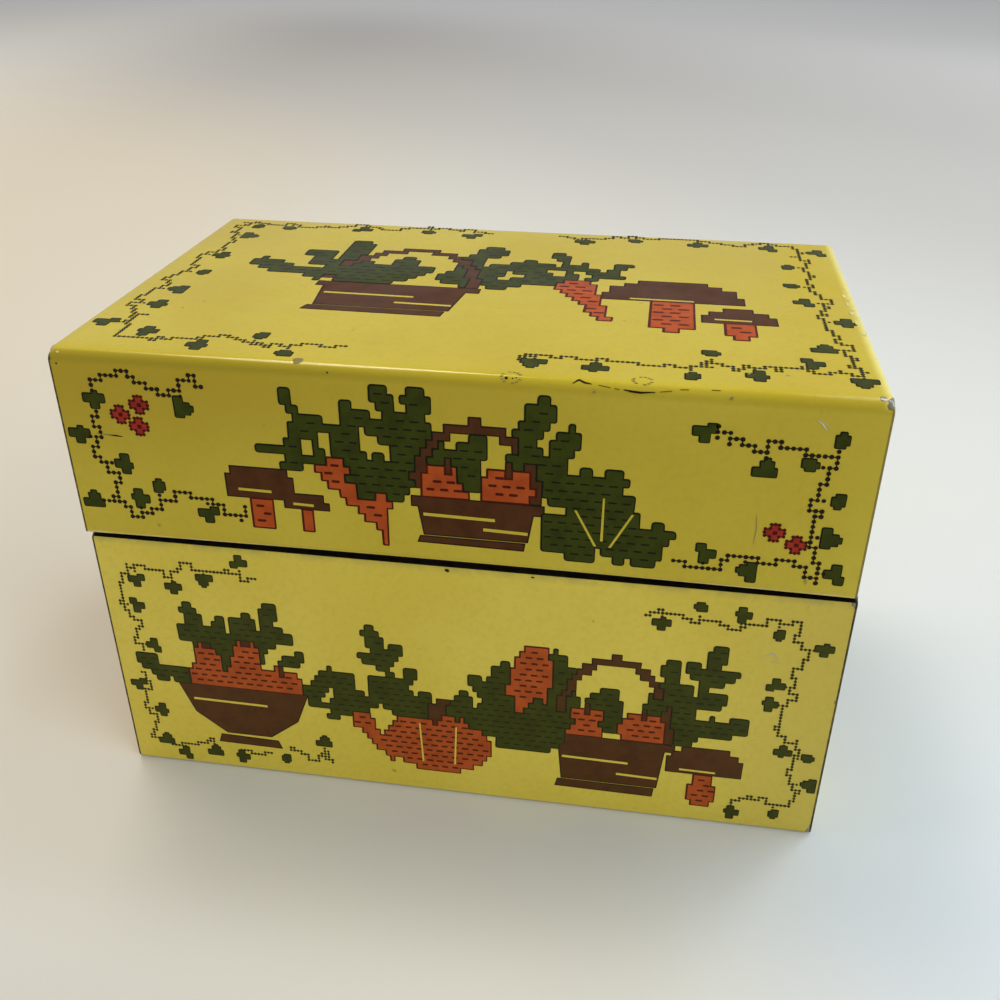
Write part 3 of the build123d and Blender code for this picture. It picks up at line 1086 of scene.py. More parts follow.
    def print_dashes(self, colour, cells):
        """Short dark dashes along every row of a colour, where there is room for the whole dash."""
        thick = ORANGE_DASH if colour == "orange" else PLAIN_DASH
        for j in sorted({j for i, j in cells}):
            places = [i for i, row in cells if row == j]
            low, high = math.floor(min(places) / DASH_PITCH) - 1, math.ceil(max(places) / DASH_PITCH)
            for k in range(low, high + 1):
                u = (k + 0.5 * (j % 2)) * DASH_PITCH
                half = DASH_HALF + 0.12 * noise.noise(Vector((u, j * 1.3, 4.2)))
                columns = {math.floor((u + d) / STITCH) for d in (-half, 0, half)}
                if {(i, row) for i in columns for row in (j, j - 1)} <= cells:
                    v = j * self.row + 0.05 * noise.noise(Vector((u, j * 1.3, 9.1)))
                    near, far = u - half + DASH_TIP, u + half - DASH_TIP
                    ring = [(u - half, v), (near, v - thick), (far, v - thick), (u + half, v),
                            (far, v + thick), (near, v + thick)]
                    loop = self.loop([Vector(spot) for spot in ring])
                    self.ink.prism(self.face, [loop], "dash", LINE_INKS[colour])


# Motifs of a kitchen garden's harvest. Each is drawn from its own lower middle point, in chart units.


LOBE_LENGTH = 4.2


def leaf(chart, u, v, length, width, tilt):
    """A leaf of rounded lobes, one past another to either side of its midrib."""
    lobes = max(1, round(length / LOBE_LENGTH))
    each = length / lobes
    for k in range(lobes):
        aside = heading(tilt + 90) * (width * 0.14 * (-1) ** k if lobes > 1 else 0)
        middle = Vector((u, v)) + heading(tilt) * (each * (k + 0.5)) + aside
        chart.oval("green", middle.x, middle.y, each * 0.66, width * 0.5, tilt)


def spray(chart, u, v, reach, tilts, width=4.4):
    """A fan of long leaves from one root."""
    for k, tilt in enumerate(tilts):
        root = Vector((u, v)) + heading(tilt) * 1.5
        leaf(chart, root.x, root.y, reach * (1 - 0.14 * (k % 2)), width, tilt)


def frond(chart, u, v, length, tilt, pairs, leaf_length, leaf_width):
    """A stalk with pairs of leaves and one at its tip."""
    root = Vector((u, v))
    tip = root + heading(tilt) * length
    chart.limb("green", [root, tip], 1.6, 1.4)
    for k in range(pairs):
        spot = root.lerp(tip, (k + 0.7) / (pairs + 0.3))
        size = 1 - 0.22 * k / pairs
        for side in (-1, 1):
            leaf(chart, spot.x, spot.y, leaf_length * size, leaf_width * size, tilt + 50 * side)
    leaf(chart, tip.x, tip.y, leaf_length * 0.8, leaf_width, tilt)


def carrot(chart, u, v, length, tilt):
    """A carrot that points along `tilt`, with three fronds at its head."""
    root = Vector((u, v))
    for spread, reach in ((-52, 0.7), (-6, 0.9), (40, 0.72)):
        frond(chart, u, v, length * reach, tilt + 180 + spread, 1, length * 0.26, 2.4)
    chart.limb("orange", [root, root + heading(tilt) * length], length * 0.38, 1.2)


def apple(chart, u, v, size):
    """A round fruit with a dimple, a stalk and a leaf."""
    chart.oval("orange", u, v + size * 0.9, size, size * 0.95)
    chart.oval(None, u, v + size * 1.95, 0.9, 0.9)
    chart.limb("brown", [(u, v + size * 1.6), (u + 0.8, v + size * 2.3)], 1.3, 1.3)
    leaf(chart, u + 0.6, v + size * 2.1, size * 1.1, size * 0.7, 25)


def pear(chart, u, v, size):
    """A fruit with a neck, a stalk and a leaf."""
    chart.oval("orange", u, v + size * 0.9, size, size * 0.95)
    chart.oval("orange", u + 0.3, v + size * 2.0, size * 0.62, size * 0.9)
    chart.limb("brown", [(u + 0.5, v + size * 2.8), (u + 1.2, v + size * 3.4)], 1.3, 1.3)
    leaf(chart, u + 1.0, v + size * 3.0, size * 1.4, size * 0.8, 12)


def mushroom(chart, u, v, size):
    """A stout stem under a domed cap with a pale slit."""
    chart.limb("orange", [(u, v + 0.8), (u, v + size)], size * 0.66, size * 0.5)
    brim = v + size * 0.85

    def cap(p):
        return p.y >= brim and (abs(p.x - u) / size) ** 2.4 + ((p.y - brim) / (size * 0.95)) ** 2.4 <= 1

    chart.fill("brown", cap, u, v + size, size * 1.2)
    chart.block("slit", (u, brim), size, (-0.6, 1.0), (0.3, 0.9), (0.3, 1.4), (-0.6, 1.5))


def vein(chart, low, high, low_width, high_width):
    """A pale vein between two spots."""
    low, high = Vector(low), Vector(high)
    chart.block("vein", (0, 0), 1, low, low + Vector((low_width, 0)), high + Vector((high_width, 0)), high)


def cabbage(chart, u, v, size):
    """A round head in loose outer leaves, with pale veins."""
    chart.oval("green", u, v + size * 0.95, size * 0.8, size * 0.85)
    for side in (-1, 1):
        leaf(chart, u + side * size * 0.25, v + 0.4, size * 1.35, size * 0.62, 90 - side * 55)
        leaf(chart, u + side * size * 0.15, v + 0.2, size * 1.1, size * 0.5, 90 - side * 84)
    for side in (-1, 1):
        high = (u + side * size * 0.62, v + size * 1.15)
        vein(chart, (u + side * 1.2, v + size * 0.25), high, 0.45, 0.4)
    vein(chart, (u - 0.2, v + size * 0.4), (u - 0.1, v + size * 1.5), 0.45, 0.3)


def pumpkin(chart, u, v, half_width, half_height):
    """A wide ribbed fruit with a thick stalk and two leaves."""
    chart.oval("orange", u, v + half_height, half_width, half_height)
    chart.limb("brown", [(u - 0.5, v + half_height * 1.85), (u + 1.6, v + half_height * 2.4)], 3.2, 2.4)
    leaf(chart, u + half_width * 0.25, v + half_height * 2.0, half_width * 1.0, half_width * 0.42, 14)
    leaf(chart, u - half_width * 0.2, v + half_height * 2.0, half_width * 0.9, half_width * 0.45, 152)
    for side in (-1, 1):
        high = (u + side * half_width * 0.34, v + half_height * 1.6)
        vein(chart, (u + side * half_width * 0.3, v + half_height * 0.3), high, 0.4, 0.35)


def maize(chart, u, v, length, tilt):
    """An ear of maize half out of its husk."""
    middle = Vector((u, v)) + heading(tilt) * (length * 0.6)
    for spread, share in ((34, 0.62), (-38, 0.54), (62, 0.42), (-64, 0.4)):
        leaf(chart, u, v, length * share, length * 0.16, tilt + spread)
    chart.oval("orange", middle.x, middle.y, length * 0.42, length * 0.16, tilt)
    for spread in (16, -16):
        leaf(chart, u, v, length * 0.5, length * 0.16, tilt + spread)


def clear_below(chart, u, v, half, rim):
    """Unpicks what hangs below the rim of a basket or bowl, from its foot up."""
    for i, j in list(chart.cells):
        if v < (j + 0.5) * ROW < rim and abs(i + 0.5 - u) < half:
            del chart.cells[i, j]


def basket(chart, u, v, width, height, fruit=True):
    """A plain basket with an arched handle, filled with leaves and two apples."""
    half = width / 2
    rim = v + height
    arch = [Vector((u + (half - 1) * math.cos(a), rim + height * 1.25 * math.sin(a)))
            for a in (math.pi * k / 8 for k in range(9))]
    spray(chart, u - half * 0.55, rim, half * 1.5, (160, 128, 104))
    spray(chart, u + half * 0.6, rim, half * 1.5, (16, 50, 78))
    chart.limb("brown", arch, 1.9, 1.9)
    if fruit:
        apple(chart, u - half * 0.45, rim - 2.0, width * 0.19)
        apple(chart, u + half * 0.48, rim - 2.5, width * 0.2)
    else:
        spray(chart, u - half * 0.3, rim - 2, half * 0.8, (140, 96, 60))
    leaf(chart, u, rim + 1, half * 0.9, 4.0, 92)
    clear_below(chart, u, v - 1, half, rim - 1.2)
    foot = height * 0.14
    chart.block("brown", (u, v), half, (-0.9, -0.2), (0.74, -0.4), (0.76, foot - 0.3), (-0.86, foot - 0.3))
    chart.block("brown", (u, v), half, (-0.8, foot), (0.8, foot), (0.88, height - 3.2),
                (1.04, height - 3.2), (1.04, height - 1.2), (-0.98, height - 1.0), (-0.98, height - 3.0),
                (-0.88, height - 3.0))
    for share, start, end in ((0.52, -0.8, 0.3), (0.3, 0.12, 0.8)):
        foot = v + height * share
        chart.block("slit", (u, foot), half, (start, 0), (end, -0.2), (end, 0.4), (start, 0.6))


def bowl(chart, u, v, width, height):
    """A footed bowl of pears and an apple."""
    half = width / 2
    rim = v + height
    leaf(chart, u - half * 0.6, rim - 1, half * 1.1, 5, 155)
    leaf(chart, u + half * 0.7, rim - 1, half * 1.1, 5, 28)
    spray(chart, u - half * 0.1, rim + 2, half * 1.2, (118, 84, 54), 4)
    pear(chart, u - half * 0.5, rim - 2, width * 0.16)
    apple(chart, u + half * 0.62, rim - 2, width * 0.16)
    pear(chart, u + half * 0.1, rim - 2, width * 0.18)
    clear_below(chart, u, v, half, rim - 0.2)
    foot, belly = height * 0.16, height * 0.5
    chart.block("brown", (u, v), half, (-0.35, foot), (0.35, foot), (0.8, belly), (1, height), (-1, height),
                (-0.8, belly))
    chart.block("brown", (u, v), half, (-0.5, -0.4), (0.5, -0.6), (0.45, height * 0.1),
                (-0.45, height * 0.12))
    chart.block("slit", (u, v + height * 0.72), half, (-0.8, 0), (0.35, -0.2), (0.35, 0.4), (-0.8, 0.6))


CLOVERS = (
    ("xxxxxxx", "xxxxxxx", "xxxxxxx", ".xxxx..", ".xxxx..", "..xx..."),
    (".xxx...", ".xxx...", ".xxxxxx", "..xxxxx", "..xxxxx", "..xxx..", "..xxx.."),
    ("..xxx..", "..xxx..", "xxxxxxx", "xxxxxxx", "xxxxxxx", "..xx..."),
    ("xxxx.", "xxxxx", "xxxxx", ".xxx."),
)
BLOSSOM = ("..xxx..", "..xxx..", "xxxxxxx", "xxx.xxx", "xxxxxxx", "..xxx..", "..xxx..")
BLOSSOM_BEADS = ((-1.4, 3.3), (0, 3.5), (1.4, 3.3), (1.6, 1.7))      # on one petal
BLOSSOM_STITCH = 0.45
BLOSSOM_BEAD = 0.3
TREFOIL_STITCH = 0.56


def stitch_pattern(chart, colour, rows, quarter_turns):
    """Fills a chart from rows of x and dots, top row first, turned about its own middle."""
    middle = Vector((len(rows[0]) / 2, len(rows) / 2))
    for down, row in enumerate(rows):
        for across, mark in enumerate(row):
            if mark == "x":
                way = Vector((across + 0.5, len(rows) - down - 0.5)) - middle
                spot = turned(way, math.pi / 2 * quarter_turns)
                chart.cells[math.floor(spot.x + 0.51), math.floor(spot.y + 0.51)] = colour


def trefoil(ink, face, spot, scale, draw):
    """A small three-lobed leaf of the border."""
    size = TREFOIL_STITCH * scale
    chart = Chart(ink, face, spot.x - size / 2, spot.y - size / 2, size, row=STITCH, line=0.36)
    stitch_pattern(chart, "green", draw.choice(CLOVERS), draw.choice((0, 1, 2, 3)))
    chart.print(claims=False)
    face.sprites.append(spot)


def blossom(ink, face, u, v):
    """A small four-petalled flower, with dark beads along its edge."""
    size = BLOSSOM_STITCH
    middle = Vector((u, v))
    chart = Chart(ink, face, u - size / 2, v - size / 2, size, row=STITCH, line=0.5)
    stitch_pattern(chart, "petal", BLOSSOM, 0)
    chart.print(claims=False)
    for quarter in range(4):
        for spot in BLOSSOM_BEADS:
            bead = middle + turned(Vector(spot) * size, math.pi / 2 * quarter)
            ink.dot(face, bead, BLOSSOM_BEAD, "red_ink", level="dash")
    ink.dot(face, middle, BLOSSOM_BEAD, "red_ink", level="dash")
    face.sprites.append(middle)


BEAD_MARGIN = 1.6                # beads nearer than this to a panel's edge are left out
BEAD_PITCH = 0.96                # these, down to the thread, are for a vine of scale 1
BEAD_RADIUS = 0.40
STALK_RADIUS = 0.36              # the bead between a vine and its leaf
LEAF_REACH = 2.0
THREAD = 0.22
SWERVE_CHANCE = 0.35


def vine(ink, face, spots, seed, scale, tone="dark_ink", fine=1.0, leaf_gaps=(5, 8, 11)):
    """A stem of beads on a thread that steps from spot to spot, with leaves beside it. `fine` scales the
    beads, and `leaf_gaps` are the counts of beads from one leaf to the next."""
    draw = random.Random(seed)
    pitch = BEAD_PITCH * scale * fine
    reach = LEAF_REACH * scale
    here = Vector(spots[0])
    before = None
    since_leaf = 5
    flank = 1
    side = draw.choice((-1, 1))

    def bead(spot, radius):
        covered = any((spot - s).length < reach * 0.95 for s in face.sprites)
        crowded = any((spot - s).length < 0.86 * pitch for s in face.beads)
        if covered or crowded or not face.holds(spot, BEAD_MARGIN) or face.is_stitched(spot, 0.9):
            return None
        ink.dot(face, spot, radius * fine * draw.uniform(0.9, 1.08), tone)
        face.beads.append(spot)
        return spot

    for goal in [Vector(s) for s in spots[1:]]:
        drift = 0
        while (goal - here).length > 2.5 * pitch:
            way = goal - here
            if abs(way.x) > abs(way.y):
                ahead, aside = Vector((math.copysign(pitch, way.x), 0)), Vector((0, pitch))
            else:
                ahead, aside = Vector((0, math.copysign(pitch, way.y))), Vector((pitch, 0))
            if abs(drift) >= 2:
                side = -math.copysign(1, drift)
            elif draw.random() < SWERVE_CHANCE:
                side = -side
            jog = draw.choice((0, 1, 1, 1, 2))
            drift += side * jog
            for step in [ahead] * draw.choice((1, 2, 2, 3)) + [aside * side] * jog:
                placed = bead(here, BEAD_RADIUS * scale)
                if placed and before and (placed - before).length < 1.1 * pitch:
                    ink.thread(face, before, placed, THREAD * scale * fine, tone)
                before = placed
                here = here + step
                since_leaf += 1
            if since_leaf > draw.choice(leaf_gaps):
                for turn in (flank, -flank):
                    spot = here + aside * turn * 3.0 / fine
                    if face.has_room(spot, reach):
                        bead(here + aside * turn, STALK_RADIUS * scale)
                        trefoil(ink, face, spot, scale, draw)
                        since_leaf = 0
                        flank = -turn
                        break
    tip = here + ahead * 2
    if face.has_room(tip, reach):
        trefoil(ink, face, tip, scale, draw)


def print_panel(chart, motifs, vines, *border, blossoms=()):
    """Prints a face: its motifs, then blossoms, then vines. `vines` maps the seed of each vine's draws to
    the spots on its way, and `border` is passed on to vine()."""
    for motif, *place in motifs:
        motif(chart, *place)
    chart.print()
    for spot in blossoms:
        blossom(chart.ink, chart.face, *spot)
    for seed, spots in vines.items():
        vine(chart.ink, chart.face, spots, seed, *border)


def print_lid_wall(ink, face, mirrored):
    """Mushrooms, carrots, a basket and a cabbage across the middle of the lid's front or back."""
    chart = Chart(ink, face, face.width / 2, 3.6, 1.0, mirrored)
    wide, high = face.width, face.height
    if mirrored:
        blossoms = [(wide - 13, high - 11), (wide - 9.5, high - 14)]
        vines = {6: [(wide - 44, 4), (wide - 6, 4), (wide - 5, high - 10), (wide - 22, high - 5)],
                 9: [(30, high - 5), (7, high - 6), (6, 5), (26, 4)]}
    else:
        blossoms = [(11, high - 11), (14.6, high - 9), (14, high - 13), (wide - 11, 9), (wide - 14.6, 11)]
        vines = {5: [(26, high - 5), (6, high - 6), (5, 14), (6, 5), (31, 4)],
                 8: [(wide - 30, 4), (wide - 6, 5), (wide - 5, high - 9), (wide - 26, high - 5)]}
    print_panel(chart, [
        (cabbage, 25, 0, 7.5), (basket, 4, 0, 22, 10), (frond, -9, 15, 9, 100, 1, 6, 3.2),
        (carrot, -20, 13, 14, -54), (carrot, -12, 7, 8, -84), (mushroom, -33, 0.8, 6.5),
        (mushroom, -25, 0.8, 4),
    ], vines, 1.0, blossoms=blossoms)


def print_base_wall(ink, face, mirrored):
    """A bowl of fruit, and a wide group with a pumpkin, maize, a basket and mushrooms."""
    chart = Chart(ink, face, face.width / 2, 5.5, 0.86, mirrored)
    wide, high = face.width, face.height
    bowl_vine = [(30, high - 6), (5, high - 7), (5, 5), (42, 4)]
    basket_vine = [(34, high - 6), (7, high - 5), (5, 20), (6, 5), (30 if mirrored else 17, 3.6)]
    if mirrored:
        vines = {22: [(wide - x, y) for x, y in bowl_vine], 35: basket_vine}
    else:
        vines = {21: bowl_vine, 34: [(wide - x, y) for x, y in basket_vine]}
    print_panel(chart, [
        (frond, -9, 12, 22, 112, 3, 7, 3.8), (frond, 1, 12, 16, 66, 2, 7, 3.8),
        (frond, 47, 15, 22, 76, 3, 7, 3.8), (pumpkin, -5, 0, 12, 8.5), (basket, 33, 0, 26, 16),
        (maize, 12, 10, 28, 80), (mushroom, 53, 0, 8.5), (carrot, -22, 13, 13, -58),
        (frond, -45, 26, 11, 72, 1, 7, 3.8), (frond, -53, 26, 9, 116, 1, 7, 3.8), (bowl, -49, 2, 30, 16),
    ], vines, 0.84, "vine_ink", 0.86, (10, 15, 20))


def print_lid_top(ink, face):
    """A leafy basket and two mushrooms with a carrot, inside a border on all four sides."""
    chart = Chart(ink, face, face.width / 2, 24, 1.3)
    wide, deep = face.width, face.height
    vines = {55: [(48, 9), (8, 9), (5.5, 18), (4.5, deep - 16), (8, deep - 4.5), (62, deep - 4.5)],
             89: [(76, deep - 4.5), (wide - 8, deep - 4.5), (wide - 5, deep - 16), (wide - 5, 16),
                  (wide - 7, 9), (wide - 30, 9), (76, 10)]}
    print_panel(chart, [
        (basket, -14, 1.5, 24, 13, False), (carrot, 12, 17, 15, -70), (mushroom, 26, 3, 10),
        (mushroom, 35, 0, 5.5),
    ], vines, 1.1, "vine_ink", 0.78, (12, 18, 24))


def print_end(ink, face, scale, seed):
    """One group in the middle of an end panel, and a vine up each side."""
    chart = Chart(ink, face, face.width / 2, 4.5, scale)
    wide, high = face.width, face.height
    vines = {seed: [(wide * 0.42, high - 6), (7, high - 6), (6, 6)],
             seed + 1: [(wide * 0.66, 5), (wide - 6, 5), (wide - 6, high - 8)]}
    motifs = {
        "base": [(frond, -14, 6, 30, 106, 3, 9, 4.6), (frond, 20, 6, 26, 66, 2, 9, 4.6),
                 (bowl, 3, 0, 30, 13), (mushroom, -20, 0, 8), (carrot, 20, 10, 15, -56)],
        "lid": [(spray, -3, 4, 16, (146, 118, 90, 62, 36)), (mushroom, -11, 0, 8.5), (apple, 4, 0, 5.5),
                (mushroom, 16, 0, 6)],
    }
    print_panel(chart, motifs[face.body], vines, scale)


# ---------------------------------------------------------------- wear on the front


class FrontSkin:
    """The front sheet of the lid or base, with places as (x, way up along the sheet and over its bend)."""

    def __init__(self, body):
        self.body = body

    def place(self, x, way, lift):
        start, bend = (LID_BOTTOM_Z, LID_TOP_Z - LID_BEND) if self.body == "lid" else (0, math.inf)
        if way < bend - start:
            point, normal = Vector((x, FRONT_Y, start + way)), Vector((0, -1, 0))
        else:
            past = way - bend + start
            angle = min(math.pi / 2, past / LID_BEND)
            flat = max(0, past - LID_BEND * math.pi / 2)
            y = FRONT_Y + LID_BEND * (1 - math.cos(angle)) + flat
            point = Vector((x, y, bend + LID_BEND * math.sin(angle)))
            normal = Vector((0, -math.cos(angle), math.sin(angle)))
        return settle(self.body, point, normal) + normal * lift


def scratch(ink, skin, spots, width, material):
    """A thin scratch through the lacquer, widest in its middle."""
    count = len(spots) - 1
    for k, (a, b) in enumerate(zip(spots, spots[1:])):
        a, b = Vector(a), Vector(b)
        side = (b - a).normalized()
        side = Vector((-side.y, side.x)) * (width / 2)
        near, far = side * (0.35 if k == 0 else 1), side * (0.35 if k == count - 1 else 1)
        ink.prism(skin, [[a - near, b - far, b + far, a + near]], "dash", material)


def fleck(ink, skin, u, v, half_u, half_v, seed, material):
    """A small ragged chip."""
    draw = random.Random(seed)
    ring = []
    for way in circle(9):
        size = draw.uniform(0.6, 1.1)
        ring.append(Vector((u + half_u * size * way.x, v + half_v * size * way.y)))
    ink.prism(skin, [ring], "dash", material)


CREASE = (                       # the broken crease below the bend: runs of spots, as (x, way up)
    [(18.6, 34.4), (19.5, 35.2), (20.4, 34.7), (21.5, 34.5)], [(22.6, 34.4), (24.4, 34.1)],
    [(25, 34.0), (25.8, 33.9)], [(26.4, 33.9), (27.7, 33.7), (29, 33.6), (31.2, 33.8)],
    [(31.9, 33.9), (33.7, 34.2)], [(34.9, 34.5), (36.2, 34.6)], [(39.6, 34.8), (40.9, 34.8)],
)
DEEP_RUNS = (0, 3)               # the wider ones among them
BEND_CHIPS = (                   # x, way up, half sizes and ink
    (-25.3, 35.6, 1.1, 0.9, "scuff_ink"), (8.3, 34.6, 0.32, 0.28, "chip_ink"),
    (9.3, 34.6, 0.14, 0.14, "chip_ink"), (9.8, 34.8, 0.12, 0.12, "chip_ink"),
    (42.6, 33.6, 0.3, 0.35, "scuff_ink"), (22.0, 33.2, 0.25, 0.3, "scuff_ink"),
    (45.4, 41.5, 0.3, 0.5, "scuff_ink"), (-20.2, 33.6, 0.2, 0.15, "chip_ink"),
)
DENTS = ((29.2, 36.2), (9.0, 35.0))      # each ringed with scuffs
DENT_RADIUS = 1.5
LID_SCRATCHES = (                # spots, width and ink
    ([(-61.5, 19.8), (-59, 19.7), (-57, 19.6)], 0.14, "scuff_ink"),
    ([(-59.3, 19.7), (-58, 19.65), (-56.9, 19.55)], 0.26, "chip_ink"),
    ([(48.6, 14), (48.9, 11), (48.7, 8.5)], 0.12, "scuff_ink"),
    ([(55.5, 31.1), (56.4, 30.4), (57.1, 29.4)], 0.22, "bright_scratch_ink"),
    ([(56.2, 30.9), (57.6, 30.0)], 0.14, "bright_scratch_ink"),
)
BASE_SCRATCHES = (
    ([(53.4, 40.5), (54.6, 41.2), (55.6, 40.2)], 0.2, "bright_scratch_ink"),
    ([(54.5, 39.6), (56.2, 39.2)], 0.14, "bright_scratch_ink"),
)
TOP_EDGE_FLECKS = (              # along the right edge of the lid's top
    (65.2, 86.6), (64.6, 81.9), (65.3, 80.2), (64.7, 77.3), (65.4, 74.6), (64.9, 72.2), (65.5, 70.1),
    (65.0, 67.4), (65.6, 62.0),
)


def print_wear(lid_ink, base_ink):
    """Scratches and chips on the front, from handling."""
    lid, base = FrontSkin("lid"), FrontSkin("base")
    for k, run in enumerate(CREASE):
        scratch(lid_ink, lid, run, 0.32 if k in DEEP_RUNS else 0.2, "chip_ink")
    for k, (x, way, half_x, half_way, material) in enumerate(BEND_CHIPS):
        fleck(lid_ink, lid, x, way, half_x, half_way, 100 + k, material)
    for x, way in DENTS:
        for k, turn in enumerate(circle(14)):
            if k % 5:
                rim_x, rim_way = x + DENT_RADIUS * turn.x, way + DENT_RADIUS * 0.8 * turn.y
                fleck(lid_ink, lid, rim_x, rim_way, 0.3, 0.14, 130 + k, "scuff_ink")
    for spots, width, material in LID_SCRATCHES:
        scratch(lid_ink, lid, spots, width, material)
    for k, (x, way) in enumerate(TOP_EDGE_FLECKS):
        fleck(lid_ink, lid, x, way, 0.26 + 0.1 * (k % 3), 0.8 + 0.5 * (k % 2), 180 + k, "pale_scuff_ink")
    fleck(lid_ink, lid, -66.1, 32.2, 0.22, 0.2, 200, "chip_ink")
    fleck(lid_ink, lid, -65.9, 34.2, 0.3, 0.22, 201, "pale_scuff_ink")
    fleck(lid_ink, lid, 64.9, 35.0, 0.55, 0.18, 202, "bright_scratch_ink")
    fleck(base_ink, base, -1.6, 52.3, 0.5, 0.35, 160, "chip_ink")
    fleck(base_ink, base, 13.2, 52.4, 0.35, 0.14, 161, "chip_ink")
    for spots, width, material in BASE_SCRATCHES:
        scratch(base_ink, base, spots, width, material)


faces = make_faces()
lid_ink = Ink("lid_print", "lid")
base_ink = Ink("base_print", "base")
print_lid_wall(lid_ink, faces["lid", "front"], False)
print_lid_wall(lid_ink, faces["lid", "back"], True)
print_lid_top(lid_ink, faces["lid", "top"])
print_base_wall(base_ink, faces["base", "front"], False)
print_base_wall(base_ink, faces["base", "back"], True)
for number, end_name in enumerate(("left", "right")):
    print_end(lid_ink, faces["lid", end_name], 1.0, 40 + 10 * number)
    print_end(base_ink, faces["base", end_name], 0.86, 45 + 10 * number)
print_wear(lid_ink, base_ink)
lid_ink.shell.make()
base_ink.shell.make()


# ---------------------------------------------------------------- stage, light and camera, in metres


FLOOR_SIZE = 12
FLOOR_SHIFT = 3                          # the floor reaches further back than forward


def make_floor():
    """Pale paper with painted light: warm at the left and cool at the right, painted shade in front of the
    box, a painted shadow band beyond a diagonal, and painted brighter light far away.
    """
    nodes = Nodes("floor_paper")

    def beyond(low, high, to_low=0.0, to_high=1.0):
        """Eases over the distance behind the middle of the box."""
        return nodes.span(nodes.depth, low - FLOOR_SHIFT, high - FLOOR_SHIFT, to_low, to_high)

    diagonal = (0.64, 0.77, 0)               # towards the back and right
    reach = nodes.add("VectorMath", {0: nodes.coords, 1: diagonal}, operation="DOT_PRODUCT")["Value"]
    start = -diagonal[1] * FLOOR_SHIFT
    cool = nodes.times(nodes.span(nodes.across, 0.02, 0.10), beyond(0.10, -0.06, 0.4, 1))
    colour = nodes.mix(nodes.span(nodes.noise(1.6, detail=2), 0.3, 0.7), (224, 220, 210), (219, 216, 208))
    for share, tone in (
            # painted warm light at the left, then painted cool light at the right
            (nodes.span(nodes.across, -0.04, -0.26), (217, 207, 190)),
            (cool, (222, 226, 232)),
            # painted shade in front of the box
            (beyond(-0.06, -0.12, 0, 0.7), (194, 189, 184)),
            # a painted shadow band beyond a diagonal, and painted brighter light past it
            (nodes.span(reach, start + 0.12, start + 0.48, 0, 0.9), (196, 193, 190)),
            (nodes.span(reach, start + 0.62, start + 1.15, 0, 0.9), (232, 230, 229)),
            # painted brighter light far to the left and far back
            (nodes.span(nodes.across, -0.34, -0.80), (244, 240, 232)),
            (beyond(1.25, 1.9, 0, 0.8), (246, 245, 244))):
        colour = nodes.mix(share, colour, tone)
    nodes.set(Base_Color=colour, Roughness=0.62, Specular_IOR_Level=0.3)
    bpy.ops.mesh.primitive_plane_add(size=FLOOR_SIZE, location=(0, FLOOR_SHIFT, 0))
    floor = bpy.context.object
    floor.name = "floor"
    floor.data.materials.append(nodes.material)


BOX_MIDDLE = (0, 0, 0.04)
LAMPS = [                        # name, place, target, size, watts, colour; small ones cast clearer shadows
    ("overhead_left", (-0.49, 0.29, 1.3), BOX_MIDDLE, (0.30, 0.30), 2.2, (1.0, 0.86, 0.70)),
    ("overhead_back", (-0.33, 0.45, 1.3), BOX_MIDDLE, (0.30, 0.30), 3.0, (1.0, 0.88, 0.72)),
    ("overhead_right", (0.50, 0.47, 1.3), BOX_MIDDLE, (0.30, 0.30), 3.8, (0.81, 0.95, 1.0)),
    ("window_right", (1.4, -0.95, 0.98), BOX_MIDDLE, (1.15, 1.15), 16.4, (0.80, 0.94, 1.0)),
    ("side_left", (-1.1, 0.05, 0.7), BOX_MIDDLE, (0.9, 0.9), 4.0, (1.0, 0.83, 0.54)),
    ("side_right", (1.1, 0.25, 0.6), BOX_MIDDLE, (0.8, 0.8), 5.6, (0.84, 0.95, 1.0)),
    ("far_back", (-0.3, 2.1, 1.9), (-0.2, 2.1, 0), (3.8, 1.2), 5.0, (1.0, 0.98, 0.97)),
]
NO_GLARE = ("far_back", "window_right")      # these don't show in the lacquer


def make_light(name, place, target, size, watts, colour):
    """A rectangular lamp at a place, turned to its target."""
    data = bpy.data.lights.new(name, "AREA")
    data.shape = "RECTANGLE"
    data.size, data.size_y = size
    data.energy = watts
    data.color = colour
    lamp = bpy.data.objects.new(name, data)
    lamp.location = place
    lamp.rotation_euler = (Vector(target) - Vector(place)).to_track_quat("-Z", "Y").to_euler()
    lamp.visible_glossy = name not in NO_GLARE
    bpy.context.scene.collection.objects.link(lamp)


HORIZON_GLOW = (0.42, 0.425, 0.44, 1)    # the room's light from low down
OVERHEAD_GLOW = (0.26, 0.265, 0.28, 1)   # and from above


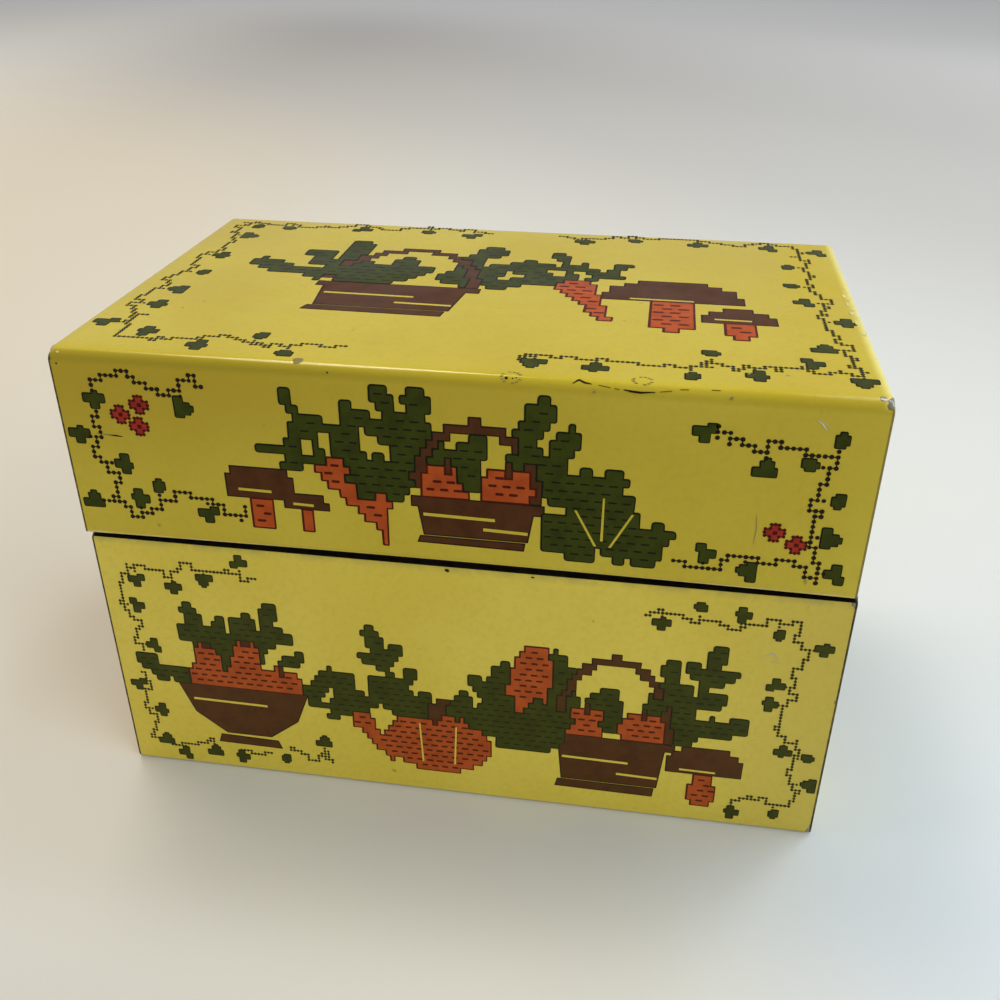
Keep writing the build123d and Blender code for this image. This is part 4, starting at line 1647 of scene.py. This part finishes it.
def make_world():
    """Even light from all round, a little brighter from low down."""
    world = bpy.data.worlds.new("room")
    world.use_nodes = True
    tree = world.node_tree
    way, split, climb, blend = (tree.nodes.new("ShaderNode" + kind) for kind in
                                ("TexCoord", "SeparateXYZ", "MapRange", "Mix"))
    blend.data_type = "RGBA"
    climb.interpolation_type = "SMOOTHSTEP"
    climb.inputs["From Min"].default_value = 0.1
    climb.inputs["From Max"].default_value = 0.8
    blend.inputs[6].default_value = HORIZON_GLOW
    blend.inputs[7].default_value = OVERHEAD_GLOW
    tree.links.new(way.outputs["Generated"], split.inputs[0])
    tree.links.new(split.outputs["Z"], climb.inputs["Value"])
    tree.links.new(climb.outputs[0], blend.inputs[0])
    tree.links.new(blend.outputs[2], tree.nodes["Background"].inputs["Color"])
    bpy.context.scene.world = world


CAMERA_PLACE = Vector((30.2, -190.4, 152.6)) * MM
CAMERA_YAW = math.radians(-8.68)         # from +Y towards +X
CAMERA_PITCH = math.radians(29.67)       # below the horizon
CAMERA_ROLL = math.radians(0.2)
CAMERA_LENS = 38.01                      # on a sensor of this width, both in millimetres
CAMERA_SENSOR = 36
CAMERA_CLIP = 0.01


def make_camera():
    """The camera, turned from +Y by its yaw, down by its pitch and then by its roll."""
    data = bpy.data.cameras.new("camera")
    data.sensor_width = CAMERA_SENSOR
    data.lens = CAMERA_LENS
    data.clip_start = CAMERA_CLIP
    camera = bpy.data.objects.new("camera", data)
    flat = math.cos(CAMERA_PITCH)
    ahead = Vector((math.sin(CAMERA_YAW) * flat, math.cos(CAMERA_YAW) * flat, -math.sin(CAMERA_PITCH)))
    level = Vector((math.cos(CAMERA_YAW), -math.sin(CAMERA_YAW), 0))
    over = level.cross(ahead)
    right = level * math.cos(CAMERA_ROLL) + over * math.sin(CAMERA_ROLL)
    up = over * math.cos(CAMERA_ROLL) - level * math.sin(CAMERA_ROLL)
    turn = Matrix((right, up, -ahead)).transposed().to_4x4()
    camera.matrix_world = Matrix.Translation(CAMERA_PLACE) @ turn
    bpy.context.scene.collection.objects.link(camera)
    bpy.context.scene.camera = camera


make_floor()
make_world()
for lamp in LAMPS:
    make_light(*lamp)
make_camera()
bpy.context.scene.view_settings.view_transform = "Standard"
